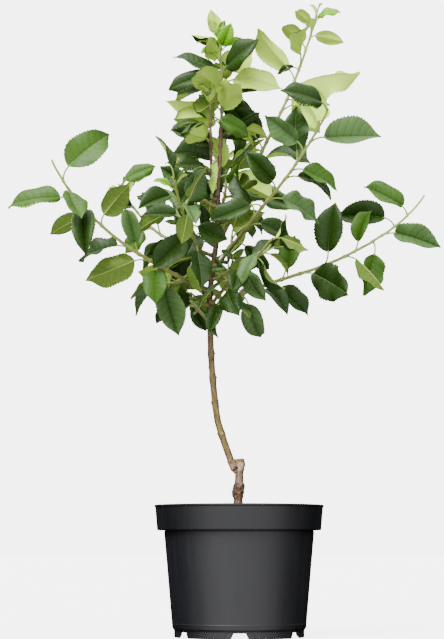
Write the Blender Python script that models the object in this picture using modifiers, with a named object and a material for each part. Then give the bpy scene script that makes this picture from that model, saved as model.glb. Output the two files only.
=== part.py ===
"""Potted young apple tree: a black nursery pot, its soil, a grafted trunk, boughs and leafy shoots.

Units are metres, +Z is up and the origin is on the ground at the pot's axis. +X is the right-hand
side of the tree as it is seen from the front, and the front looks along +Y.
"""

import math
import random

import bmesh
import bpy
from mathutils import Matrix, Vector
from mathutils.bvhtree import BVHTree

CLEAR = 0.0003                # gap between neighbouring pieces
SLIVER = 0.000003              # points nearer than this are welded after a union

# The pot: a turned plastic shell on six feet, with a deep collar round its top
POT_HEIGHT = 0.178
RIM_RADIUS = 0.1155           # outer radius of the lip round the top
LIP_HEIGHT = 0.0026
LIP_UNDERCUT = 0.0008
COLLAR_TOP_RADIUS = 0.1142
COLLAR_FOOT_RADIUS = 0.1116
COLLAR_FOOT = 0.1437          # height of the collar's lower edge
BODY_TOP_RADIUS = 0.1022
BODY_FOOT_RADIUS = 0.0906
BODY_FOOT = 0.0125            # height where the body steps in to the foot ring
FOOT_STEP = 0.003             # height of the step's slope
FOOT_RADIUS = 0.0880
FOOT_WIDTH = 0.0034
WALL = 0.0018
FLOOR_UNDERSIDE = 0.0088
POT_STEPS = 48
WELD = 0.0001                 # points of the turned profile on the axis are joined within this
FEET = 6
NOTCH_HEIGHT = 0.0080
NOTCH_REACH = 0.25            # how far a cutter goes on below the ground, as a share of its height
NOTCH_WIDTH = 0.0234          # at the ground
NOTCH_TOP_WIDTH = 0.0160

# The soil, with a flat disc round the trunk and a low fall towards the wall
SOIL_LEVEL = 0.160
SOIL_EDGE_FALL = 0.005
SOIL_DISC = 0.030
SOIL_SHOULDER = 0.020         # width of the sloping edge beside the wall
SOIL_SHOULDER_RISE = 0.001

# The rootstock, as (x, height, radius): flare, burr, shaft and the cut stub above the graft
ROOTSTOCK = (
    (-0.0010, SOIL_LEVEL + CLEAR, 0.0095),
    (-0.0012, 0.168, 0.0068),
    (-0.0013, 0.184, 0.0057),
    (-0.0018, 0.194, 0.0071),
    (-0.0002, 0.2035, 0.0070),
    (0.0002, 0.209, 0.0054),
    (0.0002, 0.221, 0.0053),
    (0.0003, 0.232, 0.0077),
    (-0.0003, 0.2405, 0.0073),
)

# The grafted stem, as (x, height), from inside the stub to the fork
STEM = (
    (-0.0030, 0.2245),
    (-0.0078, 0.2290),
    (-0.0119, 0.2405),
    (-0.0165, 0.2530),
    (-0.0212, 0.2665),
    (-0.0255, 0.2800),
    (-0.0305, 0.3006),
    (-0.0360, 0.3507),
    (-0.0390, 0.4024),
    (-0.0398, 0.4660),
    (-0.0349, 0.5100),
    (-0.0290, 0.5606),
    (-0.0290, 0.6050),
)
STEM_FOOT_RADIUS = 0.0043
STEM_FORK_RADIUS = 0.0028
RING_HEIGHTS = (0.2746, 0.3176, 0.3512, 0.3850)
RING_SWELL = 0.22
RING_SPREAD = 0.0035
STEM_PIECES = 6               # pieces of the curve between two points of the stem
SECOND_DROP = 0.006           # the second leader leaves the stem this far below the fork
SECOND_SIDE = 190             # heading of the side that it leaves from

# Limbs are marched in short steps; a tube takes every third of their points
MARCH = 0.004
TUBE_STRIDE = 3
COLLAR_RUN = 0.004            # a limb leaves the trunk level for this far
TWIG_TIP_RADIUS = 0.0011
TUBE_SIDES = 6                # sides of the tubes that leaves are tested against

# The crown's space: no leaf reaches past it
CROWN_HALF_WIDTH = 0.306
CROWN_HALF_DEPTH = 0.228
CROWN_TOP = 0.906

# Leaves
LEAF_RATIO = 0.58             # width to length
LEAF_THICKNESS = 0.012        # as a share of the length
LEAF_CELLS = 4
PETIOLE_SHARE = 0.26          # petiole length as a share of the blade's
PETIOLE_RADIUS = 0.0008
PETIOLE_AHEAD = 0.8           # how far a petiole follows its blade, its stem and the sky
PETIOLE_ALONG = 0.35
PETIOLE_UP = 0.15
PETIOLE_CLEAR = 0.003         # a petiole is tested from this far outside the bark
BLADE_BELLY = 0.85            # exponents of the outline, which is widest a little past the middle
BLADE_ROUND = 0.75
BLADE_TIP = 0.06              # least width, as a share of the widest
PHYLLOTAXIS = 144.0           # degrees from one leaf to the next
NODE_OFFSET = 0.4             # where a leaf sits in its node's share of the shoot
NODE_JITTER = 0.3
SWING = 32.0                  # how far leaves lean to the front and the back, degrees
TILT = (28.0, 72.0)           # how far their upper sides lean from the sky, degrees
BEND = (15.0, 55.0)           # how far a blade curls down along its length, degrees
FOLD = (8.0, 32.0)            # how far each half is raised along the midrib, degrees
CROWN_FOOT = 0.40
UNDERSIDES = (0.15, 0.35, 0.70)   # share of leaves that face away, from the crown's foot to its top
END_ON = 0.3                  # a leaf that points at its facing closer than this faces level instead
GUARD = 0.0013                # half thickness of the room that each leaf keeps free
TRIES = 14                    # places tried for a leaf before it is left out
CLOCK_NUDGE = (3, 3)          # degrees that a try may stray, at first and more with each try
SWING_NUDGE = (6, 5)
FACING_NUDGE = (25, 5)
YOUNG_FROM = 0.68             # share of a shoot where its leaves start to get smaller
SIZES = (0.86, 1.12)          # spread of leaf lengths
MAIN_SIZE = 1.20              # a shoot's main leaves are larger
MAIN_SWING = 0.3              # lean less to the front and the back
MAIN_TILT = (52.0, 76.0)      # and show more of their face

# Long shoots. heading and rise are read along the shoot in degrees: heading 0 is +X and 90 is the
# back. bare is the part without leaves, which is the bough. clocks gives the way that the leaf at
# each node points as seen from the front, from 0 at the right, anticlockwise, in the order they
# grow, and None is a bare node. main lists the nodes of the main leaves, counted from 0. young is
# how much smaller the leaves get towards the tip.
SHOOTS = {
    "left_low": dict(height=0.465, heading=(-132, -143), rise=(26, 15, 20, 29, 41, 60),
                     length=0.320, radius=0.0026, bare=0.18, leaf=0.060, young=0.0, phase=288,
                     seed=19, facing=-90, main=(1, 3, 11, 13),
                     clocks=(215, -77, -92, 212, 102, 208, None, None, 46, 205, -84, 182, -60, 53,
                             None)),
    "left_mid": dict(height=0.522, heading=(137, 134), rise=(24, 18, 42, 50), length=0.222,
                     radius=0.0024, bare=0.20, leaf=0.051, young=0.1, phase=288, seed=8,
                     facing=-90, main=(),
                     clocks=(210, 206, None, 116, 235, None, 175, 100, 27)),
    "right_low": dict(height=0.447, heading=(43, 34, 30, 30), rise=(29, 20, 18, 26, 33, 52),
                      length=0.430, radius=0.0027, bare=0.11, leaf=0.060, young=0.0, phase=72,
                      seed=29, facing=-90, main=(6, 9, 10, 11),
                      clocks=(-73, -50, -48, 82, -38, 35, 83, -50, 75, -97, -13, 175, 160, None)),
    "right_mid": dict(height=0.506, heading=(-46, -46), rise=(38, 40, 36, 44, 52), length=0.278,
                      radius=0.0024, bare=0.13, leaf=0.058, young=0.0, phase=144, seed=15, facing=-90,
                      main=(11,),
                      clocks=(-45, -15, -25, 100, 205, -30, 133, -25, -20, 95, 148, -2, 110, 172)),
    "right_upright": dict(height=0.546, heading=(38, 38, 43), rise=(58, 62, 60, 65, 71),
                          length=0.400, radius=0.0025, bare=0.20, leaf=0.064, young=0.65,
                          phase=216, seed=57, facing=-90, main=(4, 9),
                          clocks=(-25, None, 20, 140, 136, -60, 10, -52, -5, 128, 45, 118, 2, 150,
                                  20)),
    "front_high": dict(height=0.500, heading=(-112, -98), rise=(34, 22, 26, 38), length=0.200,
                       radius=0.0022, bare=0.16, leaf=0.055, young=0.1, phase=72, seed=8,
                       facing=-30, main=(),
                       clocks=(216, -85, 222, -15, 182, 60, 205, 120)),
    "front_low": dict(height=0.456, heading=(-50, -66), rise=(36, 20, 24), length=0.160,
                      radius=0.0022, bare=0.18, leaf=0.048, young=0.1, phase=288, seed=18,
                      facing=-150, main=(),
                      clocks=(-71, 230, -63, 20, -45, 250, -20)),
    "back_high": dict(height=0.575, heading=(80, 95), rise=(38, 30, 36, 48), length=0.200,
                      radius=0.0022, bare=0.16, leaf=0.063, young=0.1, phase=144, seed=9,
                      facing=20, main=(),
                      clocks=(140, -10, 170, 45, 120, 10, 150, 80)),
    "back_low": dict(height=0.432, heading=(118, 100), rise=(34, 20, 30), length=0.175,
                     radius=0.0022, bare=0.18, leaf=0.051, young=0.1, phase=288, seed=15,
                     facing=160, main=(),
                     clocks=(205, -60, 160, -20, 240, 130, 190)),
}

# The two leaders that rise from the fork
LEADERS = {
    "leader": dict(heading=(64, 60, 180), rise=(82, 86, 86, 84), length=0.233, radius=0.0024,
                   bare=0.10, leaf=0.060, young=0.5, phase=144, seed=55, facing=-90, main=(13, 15),
                   clocks=(-50, 187, 185, 160, 55, 195, 82, 165, 100, 180, 20, 150, 195, -17, 165,
                           50, 110, 150, 60, 170, 105)),
    "second_leader": dict(heading=(-100, -110), rise=(72, 84, 88, 84), length=0.150, radius=0.0020,
                          bare=0.14, leaf=0.054, young=0.2, phase=72, seed=21, facing=-90,
                          main=(),
                          clocks=(215, 185, 230, 200, 195, -20, 135, 150)),
}

# Short spurs on the trunk, each a rosette of a few leaves
SPURS = {
    "spur_low_front": dict(height=0.440, heading=(-62,), leaf=0.050, young=0.0, phase=288, seed=15,
                           facing=-90, main=(),
                           clocks=(-83, -30, 260)),
    "spur_low_left": dict(height=0.452, heading=(205,), leaf=0.042, young=0.0, phase=144, seed=5,
                          facing=-90, main=(),
                          clocks=(228, 200, 260)),
    "spur_mid_right": dict(height=0.488, heading=(-15,), leaf=0.054, young=0.0, phase=288, seed=13,
                           facing=-90, main=(),
                           clocks=(-58, -30, -85)),
    "spur_mid_left": dict(height=0.535, heading=(215,), leaf=0.049, young=0.0, phase=0, seed=26,
                          facing=-90, main=(),
                          clocks=(216, 190, 250)),
    "spur_high_right": dict(height=0.568, heading=(15,), leaf=0.048, young=0.0, phase=144, seed=16,
                            facing=-90, main=(),
                            clocks=(-16, 20, -50)),
    "spur_high_left": dict(height=0.590, heading=(190,), leaf=0.060, young=0.0, phase=72, seed=28,
                           facing=-90, main=(),
                           clocks=(182, 222, 150)),
}
SPUR_LENGTH = 0.022
SPUR_RISE = (30, 45)
SPUR_RADIUS = 0.0017
SPUR_BARE = 0.25


def between(values, share):
    """Read a row of evenly spaced values at a share of its length."""
    place = max(0.0, min(1.0, share)) * (len(values) - 1)
    index = min(int(place), len(values) - 2) if len(values) > 1 else 0
    if len(values) == 1:
        return values[0]
    return values[index] + (values[index + 1] - values[index]) * (place - index)


def smooth_route(points, pieces):
    """A Catmull-Rom curve through the points, with the same number of pieces in every gap."""
    ends = [points[0] * 2 - points[1]] + list(points) + [points[-1] * 2 - points[-2]]
    route = []
    for index in range(1, len(ends) - 2):
        before, here, after, beyond = ends[index - 1:index + 3]
        for piece in range(pieces):
            t = piece / pieces
            route.append(0.5 * (2 * here + (after - before) * t
                                + (2 * before - 5 * here + 4 * after - beyond) * t ** 2
                                + (3 * here - before - 3 * after + beyond) * t ** 3))
    route.append(points[-1].copy())
    return route


def on_route(route, share):
    """The point and the direction at a share of a route whose points are evenly spaced."""
    place = max(0.0, min(1.0, share)) * (len(route) - 1)
    index = min(int(place), len(route) - 2)
    point = route[index].lerp(route[index + 1], place - index)
    return point, (route[index + 1] - route[index]).normalized()


def direction(heading, rise):
    """A unit vector from a heading round +Z and a rise above the level, in degrees."""
    turn, lift = math.radians(heading), math.radians(rise)
    return Vector((math.cos(turn) * math.cos(lift), math.sin(turn) * math.cos(lift), math.sin(lift)))


def march(start, headings, rises, length):
    """The centre line of a limb: short steps whose heading and rise change along it."""
    count = max(3, round(length / MARCH))
    route = [start.copy()]
    for step in range(count):
        share = (step + 0.5) / count
        along = direction(between(headings, share), between(rises, share))
        route.append(route[-1] + along * (length / count))
    return route


def stem_route():
    """The grafted stem's centre line."""
    return smooth_route([Vector((x, 0.0, z)) for x, z in STEM], STEM_PIECES)


def stem_radius(height):
    """The grafted stem's taper, with a swelling at each ring of old bud scars."""
    low, high = STEM[0][1], STEM[-1][1]
    share = (height - low) / (high - low)
    radius = STEM_FOOT_RADIUS + (STEM_FORK_RADIUS - STEM_FOOT_RADIUS) * share
    swell = sum(math.exp(-((height - ring) / RING_SPREAD) ** 2) for ring in RING_HEIGHTS)
    return radius * (1 + RING_SWELL * swell)


def stem_centre(height):
    """The stem's centre at a height."""
    route = stem_route()
    for lower, upper in zip(route, route[1:]):
        if lower.z <= height <= upper.z:
            return lower.lerp(upper, (height - lower.z) / (upper.z - lower.z))
    return route[-1].copy()


def limb_start(height, heading):
    """Where a limb meets the trunk, a small gap clear of the bark, and the end of its collar."""
    outward = direction(heading, 0.0)
    start = stem_centre(height) + outward * (stem_radius(height) + CLEAR)
    return start, start + outward * COLLAR_RUN


def leaf_profile(t):
    """Half width of a blade at t of its length, as a share of the widest half width."""
    if t <= 0 or t >= 1:
        return BLADE_TIP
    return max(math.sin(math.pi * t ** BLADE_BELLY) ** BLADE_ROUND, BLADE_TIP)


def blade_point(leaf, t, side, lift=0.0):
    """A point on a blade: t from base to tip, side from -1 to 1, lift off its surface."""
    turn = leaf["bend"] * t
    along = leaf["length"] * math.sin(turn) / leaf["bend"]
    drop = leaf["length"] * (1 - math.cos(turn)) / leaf["bend"]
    up = leaf["normal"] * math.cos(turn) + leaf["axis"] * math.sin(turn)
    half = leaf["length"] * LEAF_RATIO / 2 * leaf_profile(t)
    out = leaf["across"] * math.cos(leaf["fold"]) + up * math.copysign(math.sin(leaf["fold"]), side)
    if side == 0:
        out = leaf["across"]
    spine = leaf["base"] + leaf["axis"] * along - leaf["normal"] * drop
    return spine + out * (side * half) + up * lift


def leaf_from(stem, share, radius, clock, swing, facing, tilt, length, bend, fold):
    """A leaf that grows at a share of the stem. Its tip lies from its base along its clock angle
    and its swing, and its upper side is tilted from the sky towards the heading that it faces."""
    root, tangent = on_route(stem, share)
    turn, lean, half = math.radians(clock), math.radians(swing), math.radians(bend) / 2
    chord = Vector((math.cos(turn) * math.cos(lean), math.sin(lean), math.sin(turn) * math.cos(lean)))
    upper = direction(facing, 90 - tilt)
    if chord.cross(upper).length < END_ON:
        upper = direction(facing, 0)
    square = (upper - chord * chord.dot(upper)).normalized()
    axis = chord * math.cos(half) + square * math.sin(half)
    normal = square * math.cos(half) - chord * math.sin(half)
    petiole = (axis * PETIOLE_AHEAD + tangent * PETIOLE_ALONG + Vector((0, 0, PETIOLE_UP))).normalized()
    return dict(root=root, petiole=petiole, base=root + petiole * (radius + PETIOLE_SHARE * length),
                axis=axis, normal=normal, across=axis.cross(normal).normalized(), length=length,
                bend=math.radians(bend), fold=math.radians(fold), radius=radius)


def guard_tree(leaf):
    """The room that a leaf keeps free: its blade made thick, and its petiole past the bark."""
    points, faces = [], []
    for lift in (-GUARD, GUARD):
        for row in range(LEAF_CELLS + 1):
            for side in (-1, 0, 1):
                points.append(blade_point(leaf, row / LEAF_CELLS, side, lift))
    layer = 3 * (LEAF_CELLS + 1)
    for row in range(LEAF_CELLS):
        for column in range(2):
            corner = 3 * row + column
            for level in (0, layer):
                faces.append([level + corner, level + corner + 1, level + corner + 4, level + corner + 3])
    for row in range(LEAF_CELLS):
        for column in (0, 2):
            corner = 3 * row + column
            faces.append([corner, corner + 3, corner + 3 + layer, corner + layer])
    first = len(points)
    out = leaf["root"] + leaf["petiole"] * (leaf["radius"] + PETIOLE_CLEAR)
    for end in (out, leaf["base"]):
        points += [end + leaf["across"] * GUARD, end - leaf["across"] * GUARD,
                   end + leaf["normal"] * GUARD, end - leaf["normal"] * GUARD]
    faces += [[first, first + 1, first + 5, first + 4], [first + 2, first + 3, first + 7, first + 6]]
    return BVHTree.FromPolygons(points, faces)


def tube_tree(route, radius_at):
    """A plain tube round a route, to test leaves against."""
    points, faces = [], []
    for index, centre in enumerate(route):
        along = (route[min(index + 1, len(route) - 1)] - route[max(index - 1, 0)]).normalized()
        side = along.orthogonal().normalized()
        for corner in range(TUBE_SIDES):
            spoke = Matrix.Rotation(math.tau * corner / TUBE_SIDES, 3, along) @ side
            points.append(centre + spoke * (radius_at(index) + CLEAR))
    for index in range(len(route) - 1):
        ring = TUBE_SIDES * index
        for corner in range(TUBE_SIDES):
            after = (corner + 1) % TUBE_SIDES
            faces.append([ring + corner, ring + after, ring + TUBE_SIDES + after,
                          ring + TUBE_SIDES + corner])
    return BVHTree.FromPolygons(points, faces)


def inside_crown(leaf):
    """Whether a leaf keeps within the crown's width, depth and height."""
    for t in (0.3, 0.6, 1.0):
        for side in (-1, 0, 1):
            point = blade_point(leaf, t, side)
            if abs(point.x) > CROWN_HALF_WIDTH or abs(point.y) > CROWN_HALF_DEPTH:
                return False
            if point.z > CROWN_TOP:
                return False
    return True


def nudge(rng, reach, attempt):
    """A random turn that may be wider with each attempt."""
    return rng.uniform(-1, 1) * (reach[0] + reach[1] * attempt)


def grow_leaves(spec, stem, radii, first, taken):
    """The seeded rule: leaves at even nodes along a stem, two turns for five, the last at its tip."""
    leaves = []
    count = len(spec["clocks"])
    rng = random.Random(spec["seed"])
    for number, clock in enumerate(spec["clocks"]):
        if clock is None:
            continue
        last = number == count - 1
        place = (number + NODE_OFFSET + rng.uniform(-NODE_JITTER, NODE_JITTER)) / count
        share = 1.0 if last else first + (1 - first) * place
        radius = between(radii, share)
        main = number in spec["main"]
        swing = SWING * math.sin(math.radians(spec["phase"] + PHYLLOTAXIS * number))
        if main:
            swing *= MAIN_SWING
        growth = 1.0 - spec["young"] * max(0.0, (share - YOUNG_FROM) / (1 - YOUNG_FROM))
        size = rng.uniform(*SIZES)
        length = spec["leaf"] * growth * (MAIN_SIZE if main else size)
        height = on_route(stem, share)[0].z
        upright = between(UNDERSIDES, (height - CROWN_FOOT) / (CROWN_TOP - CROWN_FOOT))
        facing = spec["facing"] + (180 if rng.random() < upright else 0)
        for attempt in range(TRIES):
            leaf = leaf_from(stem, share, radius,
                             clock + nudge(rng, CLOCK_NUDGE, attempt),
                             swing + nudge(rng, SWING_NUDGE, attempt),
                             facing + nudge(rng, FACING_NUDGE, attempt),
                             rng.uniform(*(MAIN_TILT if main else TILT)), length,
                             rng.uniform(*BEND), rng.uniform(*FOLD))
            tree = guard_tree(leaf)
            if inside_crown(leaf) and not any(tree.overlap(other) for other in taken):
                taken.append(tree)
                leaves.append(leaf)
                break
    return leaves


def shoot_plan():
    """Every limb's route, its taper and the share of it that is bare."""
    plan = {}
    for name, spec in SHOOTS.items():
        start, collar = limb_start(spec["height"], spec["heading"][0])
        route = [start] + march(collar, spec["heading"], spec["rise"], spec["length"])
        plan[name] = (spec, route, spec["radius"], spec["bare"])
    fork = stem_route()[-1]
    leader = LEADERS["leader"]
    start = fork + Vector((0, 0, CLEAR))
    plan["leader"] = (leader, march(start, leader["heading"], leader["rise"], leader["length"]),
                      leader["radius"], leader["bare"])
    second = LEADERS["second_leader"]
    start, collar = limb_start(fork.z - SECOND_DROP, SECOND_SIDE)
    route = [start] + march(collar, second["heading"], second["rise"], second["length"])
    plan["second_leader"] = (second, route, second["radius"], second["bare"])
    for name, spec in SPURS.items():
        start, collar = limb_start(spec["height"], spec["heading"][0])
        route = [start] + march(collar, spec["heading"], SPUR_RISE, SPUR_LENGTH)
        plan[name] = (spec, route, SPUR_RADIUS, 0.0)
    return plan


def plan_leaves(plan):
    """The leaves of every shoot, grown one shoot after another round the limbs."""
    stem = stem_route()
    taken = [tube_tree(stem, lambda index: stem_radius(stem[index].z))]
    for spec, route, radius, bare in plan.values():
        taken.append(tube_tree(route, lambda index: radius))
    leaves = {}
    for name, (spec, route, radius, bare) in plan.items():
        first = bare if bare > 0 else SPUR_BARE
        leaves[name] = grow_leaves(spec, route, (radius, TWIG_TIP_RADIUS), first, taken)
    return leaves


def material(name, colour, roughness):
    surface = bpy.data.materials.new(name)
    surface.use_nodes = True
    shader = surface.node_tree.nodes["Principled BSDF"]
    shader.inputs["Base Color"].default_value = (*colour, 1.0)
    shader.inputs["Roughness"].default_value = roughness
    shader.inputs["Metallic"].default_value = 0.0
    return surface


def add_object(name, mesh, collection, surface=None):
    thing = bpy.data.objects.new(name, mesh)
    collection.objects.link(thing)
    if surface is not None:
        mesh.materials.append(surface)
    return thing


def evaluated_mesh(thing):
    return bpy.data.meshes.new_from_object(thing.evaluated_get(bpy.context.evaluated_depsgraph_get()))


def tube(name, route, radii, resolution, collection, surface=None):
    """A tapering tube along a route: a bevelled curve with filled caps, made a closed mesh."""
    curve = bpy.data.curves.new(name, "CURVE")
    curve.dimensions = "3D"
    curve.bevel_depth = 1.0
    curve.bevel_resolution = resolution
    curve.use_fill_caps = True
    spline = curve.splines.new("POLY")
    spline.points.add(len(route) - 1)
    for point, place, radius in zip(spline.points, route, radii):
        point.co = (*place, 1.0)
        point.radius = radius
    guide = bpy.data.objects.new(name + "_curve", curve)
    collection.objects.link(guide)
    bpy.context.view_layer.update()
    mesh = evaluated_mesh(guide)
    bm = bmesh.new()
    bm.from_mesh(mesh)
    bmesh.ops.remove_doubles(bm, verts=bm.verts, dist=0.000001)
    bm.to_mesh(mesh)
    bm.free()
    thing = add_object(name, mesh, collection, surface)
    thing.matrix_world = guide.matrix_world.copy()
    bpy.data.objects.remove(guide)
    return thing


def leaf_object(name, leaf, collection):
    """A leaf in one piece: a grid whose first row of cells is the stalk, from the middle of the
    stem to the blade, and whose others are bent to the blade's outline, fold and curl."""
    mesh = bpy.data.meshes.new(name)
    bm = bmesh.new()
    bmesh.ops.create_grid(bm, x_segments=2, y_segments=LEAF_CELLS + 1, size=1.0)
    for vert in bm.verts:
        row = round((vert.co.y + 1) / 2 * (LEAF_CELLS + 1))
        if row == 0:
            vert.co = leaf["root"] + leaf["across"] * (vert.co.x * PETIOLE_RADIUS)
        else:
            vert.co = blade_point(leaf, (row - 1) / LEAF_CELLS, vert.co.x)
    bm.to_mesh(mesh)
    bm.free()
    thing = add_object(name, mesh, collection)
    solid = thing.modifiers.new("Thickness", "SOLIDIFY")
    solid.thickness = leaf["length"] * LEAF_THICKNESS
    solid.offset = 0.0
    return thing


def fuse(body, branches):
    """Join a collection of closed pieces to a body with one Boolean union, and tidy the result."""
    joint = body.modifiers.new("Fuse", "BOOLEAN")
    joint.operation = "UNION"
    joint.operand_type = "COLLECTION"
    joint.collection = branches
    joint.solver = "EXACT"
    bpy.context.view_layer.update()
    mesh = evaluated_mesh(body)
    body.modifiers.clear()
    for branch in list(branches.objects):
        bpy.data.objects.remove(branch)
    bpy.data.collections.remove(branches)
    keep_main_body(mesh)
    body.data = mesh


def keep_main_body(mesh):
    """Fill sealed hollows and drop loose scraps: only the largest connected surface stays."""
    bm = bmesh.new()
    bm.from_mesh(mesh)
    bmesh.ops.triangulate(bm, faces=bm.faces)
    bmesh.ops.remove_doubles(bm, verts=bm.verts, dist=SLIVER)
    back_to_back = {}
    for face in bm.faces:
        back_to_back.setdefault(frozenset(face.verts), []).append(face)
    flaps = [face for faces in back_to_back.values() if len(faces) == 2 for face in faces]
    bmesh.ops.delete(bm, geom=flaps, context="FACES")
    left = set(bm.verts)
    islands = []
    while left:
        island, front = set(), [left.pop()]
        while front:
            vert = front.pop()
            island.add(vert)
            for edge in vert.link_edges:
                other = edge.other_vert(vert)
                if other in left:
                    left.discard(other)
                    front.append(other)
        islands.append(island)
    islands.sort(key=len)
    for island in islands[:-1]:
        bmesh.ops.delete(bm, geom=list(island), context="VERTS")
    bm.to_mesh(mesh)
    bm.free()


def turned(name, profile, steps, collection, surface):
    """A turned solid: an open profile at +X, from the axis over the top to the axis below."""
    mesh = bpy.data.meshes.new(name)
    edges = [(index, index + 1) for index in range(len(profile) - 1)]
    mesh.from_pydata([(x, 0.0, z) for x, z in profile], edges, [])
    thing = add_object(name, mesh, collection, surface)
    screw = thing.modifiers.new("Turn", "SCREW")
    screw.steps = steps
    screw.render_steps = steps
    screw.use_merge_vertices = True
    screw.merge_threshold = WELD
    return thing


def build_pot(collection, cutters, surface):
    """The pot: floor, wall, collar and foot ring in one shell, with the notches between its feet."""
    inner_foot = BODY_FOOT_RADIUS - WALL
    profile = [
        (0.0, FLOOR_UNDERSIDE + WALL),
        (inner_foot, FLOOR_UNDERSIDE + WALL),
        (BODY_TOP_RADIUS - WALL, COLLAR_FOOT + WALL),
        (COLLAR_FOOT_RADIUS - WALL, COLLAR_FOOT + WALL),
        (COLLAR_TOP_RADIUS - WALL, POT_HEIGHT),
        (RIM_RADIUS, POT_HEIGHT),
        (RIM_RADIUS, POT_HEIGHT - LIP_HEIGHT),
        (COLLAR_TOP_RADIUS, POT_HEIGHT - LIP_HEIGHT - LIP_UNDERCUT),
        (COLLAR_FOOT_RADIUS, COLLAR_FOOT),
        (BODY_TOP_RADIUS, COLLAR_FOOT),
        (BODY_FOOT_RADIUS, BODY_FOOT),
        (FOOT_RADIUS, BODY_FOOT - FOOT_STEP),
        (FOOT_RADIUS, 0.0),
        (FOOT_RADIUS - FOOT_WIDTH, 0.0),
        (FOOT_RADIUS - FOOT_WIDTH, FLOOR_UNDERSIDE),
        (0.0, FLOOR_UNDERSIDE),
    ]
    pot = turned("pot", profile, POT_STEPS, collection, surface)
    for number in range(FEET):
        cutter = notch_cutter(number, cutters)
        cut = pot.modifiers.new(cutter.name, "BOOLEAN")
        cut.operation = "DIFFERENCE"
        cut.object = cutter
    return pot


def notch_cutter(number, cutters):
    """A wedge that is wider at the ground, across the foot ring at one of its six places."""
    mesh = bpy.data.meshes.new("notch_%d" % number)
    bm = bmesh.new()
    bmesh.ops.create_cube(bm, size=1.0)
    for vert in bm.verts:
        top = vert.co.z > 0
        spread = NOTCH_WIDTH + (NOTCH_WIDTH - NOTCH_TOP_WIDTH) * NOTCH_REACH
        vert.co.x *= NOTCH_TOP_WIDTH if top else spread
        vert.co.y *= 4 * FOOT_WIDTH
        vert.co.z = NOTCH_HEIGHT if top else -NOTCH_HEIGHT * NOTCH_REACH
    bm.to_mesh(mesh)
    bm.free()
    cutter = bpy.data.objects.new(mesh.name, mesh)
    cutters.objects.link(cutter)
    turn = Matrix.Rotation(math.radians(360 / FEET * number), 4, "Z")
    cutter.matrix_world = turn @ Matrix.Translation((0, -(FOOT_RADIUS - FOOT_WIDTH / 2), 0))
    cutter.hide_render = True
    cutter.display_type = "WIRE"
    return cutter


def build_soil(collection, surface):
    """The filling, which follows the inside of the pot a small gap clear of it."""
    floor = FLOOR_UNDERSIDE + WALL + CLEAR
    ledge = COLLAR_FOOT + WALL + CLEAR
    slope = (COLLAR_TOP_RADIUS - COLLAR_FOOT_RADIUS) / (POT_HEIGHT - COLLAR_FOOT)
    edge = SOIL_LEVEL - SOIL_EDGE_FALL
    wall = COLLAR_FOOT_RADIUS - WALL - 2 * CLEAR
    profile = [
        (0.0, SOIL_LEVEL),
        (SOIL_DISC, SOIL_LEVEL),
        (wall + slope * (edge - ledge) - SOIL_SHOULDER, edge + SOIL_SHOULDER_RISE),
        (wall + slope * (edge - ledge), edge),
        (wall, ledge),
        (BODY_TOP_RADIUS - WALL - 2 * CLEAR, ledge),
        (BODY_FOOT_RADIUS - WALL - 2 * CLEAR, floor),
        (0.0, floor),
    ]
    return turned("soil", profile, POT_STEPS, collection, surface)


def build_trunk(collection, surface):
    """The trunk in one piece: rootstock with its burr and cut stub, and the grafted stem."""
    places = smooth_route([Vector((x, 0.0, z)) for x, z, radius in ROOTSTOCK], 2)
    radii = [between([row[2] for row in ROOTSTOCK], index / (len(places) - 1))
             for index in range(len(places))]
    rootstock = tube("trunk", places, radii, 2, collection, surface)
    route = stem_route()[::2]
    graft = bpy.data.collections.new("graft")
    bpy.context.scene.collection.children.link(graft)
    tube("grafted_stem", route, [stem_radius(place.z) for place in route], 2, graft)
    fuse(rootstock, graft)
    return rootstock


def cut_route(route, radii, low, high):
    """The part of a limb between two shares of it, with every third point and its own taper."""
    count = max(2, round((high - low) * (len(route) - 1) / TUBE_STRIDE))
    shares = [low + (high - low) * index / count for index in range(count + 1)]
    if low == 0:
        shares.insert(1, 1 / (len(route) - 1))
    return [on_route(route, share)[0] for share in shares], [between(radii, share) for share in shares]


def build_shoot(name, item, leaves, collection, bark, green):
    """A shoot: its bare part is a bough, and its leafy part is one mass of stem, stalks and leaves."""
    spec, route, radius, bare = item
    radii = (radius, TWIG_TIP_RADIUS)
    if bare > 0:
        places, widths = cut_route(route, radii, 0.0, bare)
        tube("bough_" + name, places, widths, 1, collection, bark)
    gap = CLEAR / (MARCH * (len(route) - 2)) if bare > 0 else 0.0
    places, widths = cut_route(route, radii, bare + gap, 1.0)
    body = tube("leaves_" + name, places, widths, 0, collection, green)
    branches = bpy.data.collections.new("fusing")
    bpy.context.scene.collection.children.link(branches)
    for number, leaf in enumerate(leaves):
        leaf_object("leaf_%d" % number, leaf, branches)
    fuse(body, branches)
    return body


def main():
    for thing in list(bpy.data.objects):
        bpy.data.objects.remove(thing)
    parts = bpy.data.collections.new("Potted apple tree")
    cutters = bpy.data.collections.new("Cutters")
    bpy.context.scene.collection.children.link(parts)
    bpy.context.scene.collection.children.link(cutters)
    bark = material("bark", (0.19, 0.13, 0.07), 0.75)
    green = material("leaf_green", (0.06, 0.13, 0.03), 0.45)
    plastic = material("black_plastic", (0.012, 0.012, 0.013), 0.42)
    earth = material("potting_soil", (0.045, 0.03, 0.02), 0.95)
    build_pot(parts, cutters, plastic)
    build_soil(parts, earth)
    build_trunk(parts, bark)
    plan = shoot_plan()
    leaves = plan_leaves(plan)
    for name, item in plan.items():
        build_shoot(name, item, leaves[name], parts, bark, green)
    for thing in parts.objects:
        thing.data.shade_smooth()
        thing.data.set_sharp_from_angle(angle=math.radians(35))


main()
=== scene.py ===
"""Looks of the potted young apple tree, dressed over its fixed frame.

Units are metres, +Z is up and the origin is on the ground at the pot's axis. The limbs and leaves
grow by the same seeded rule as the solids, so each planned leaf grows where its solid one does.
"""

import math
import random

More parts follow.
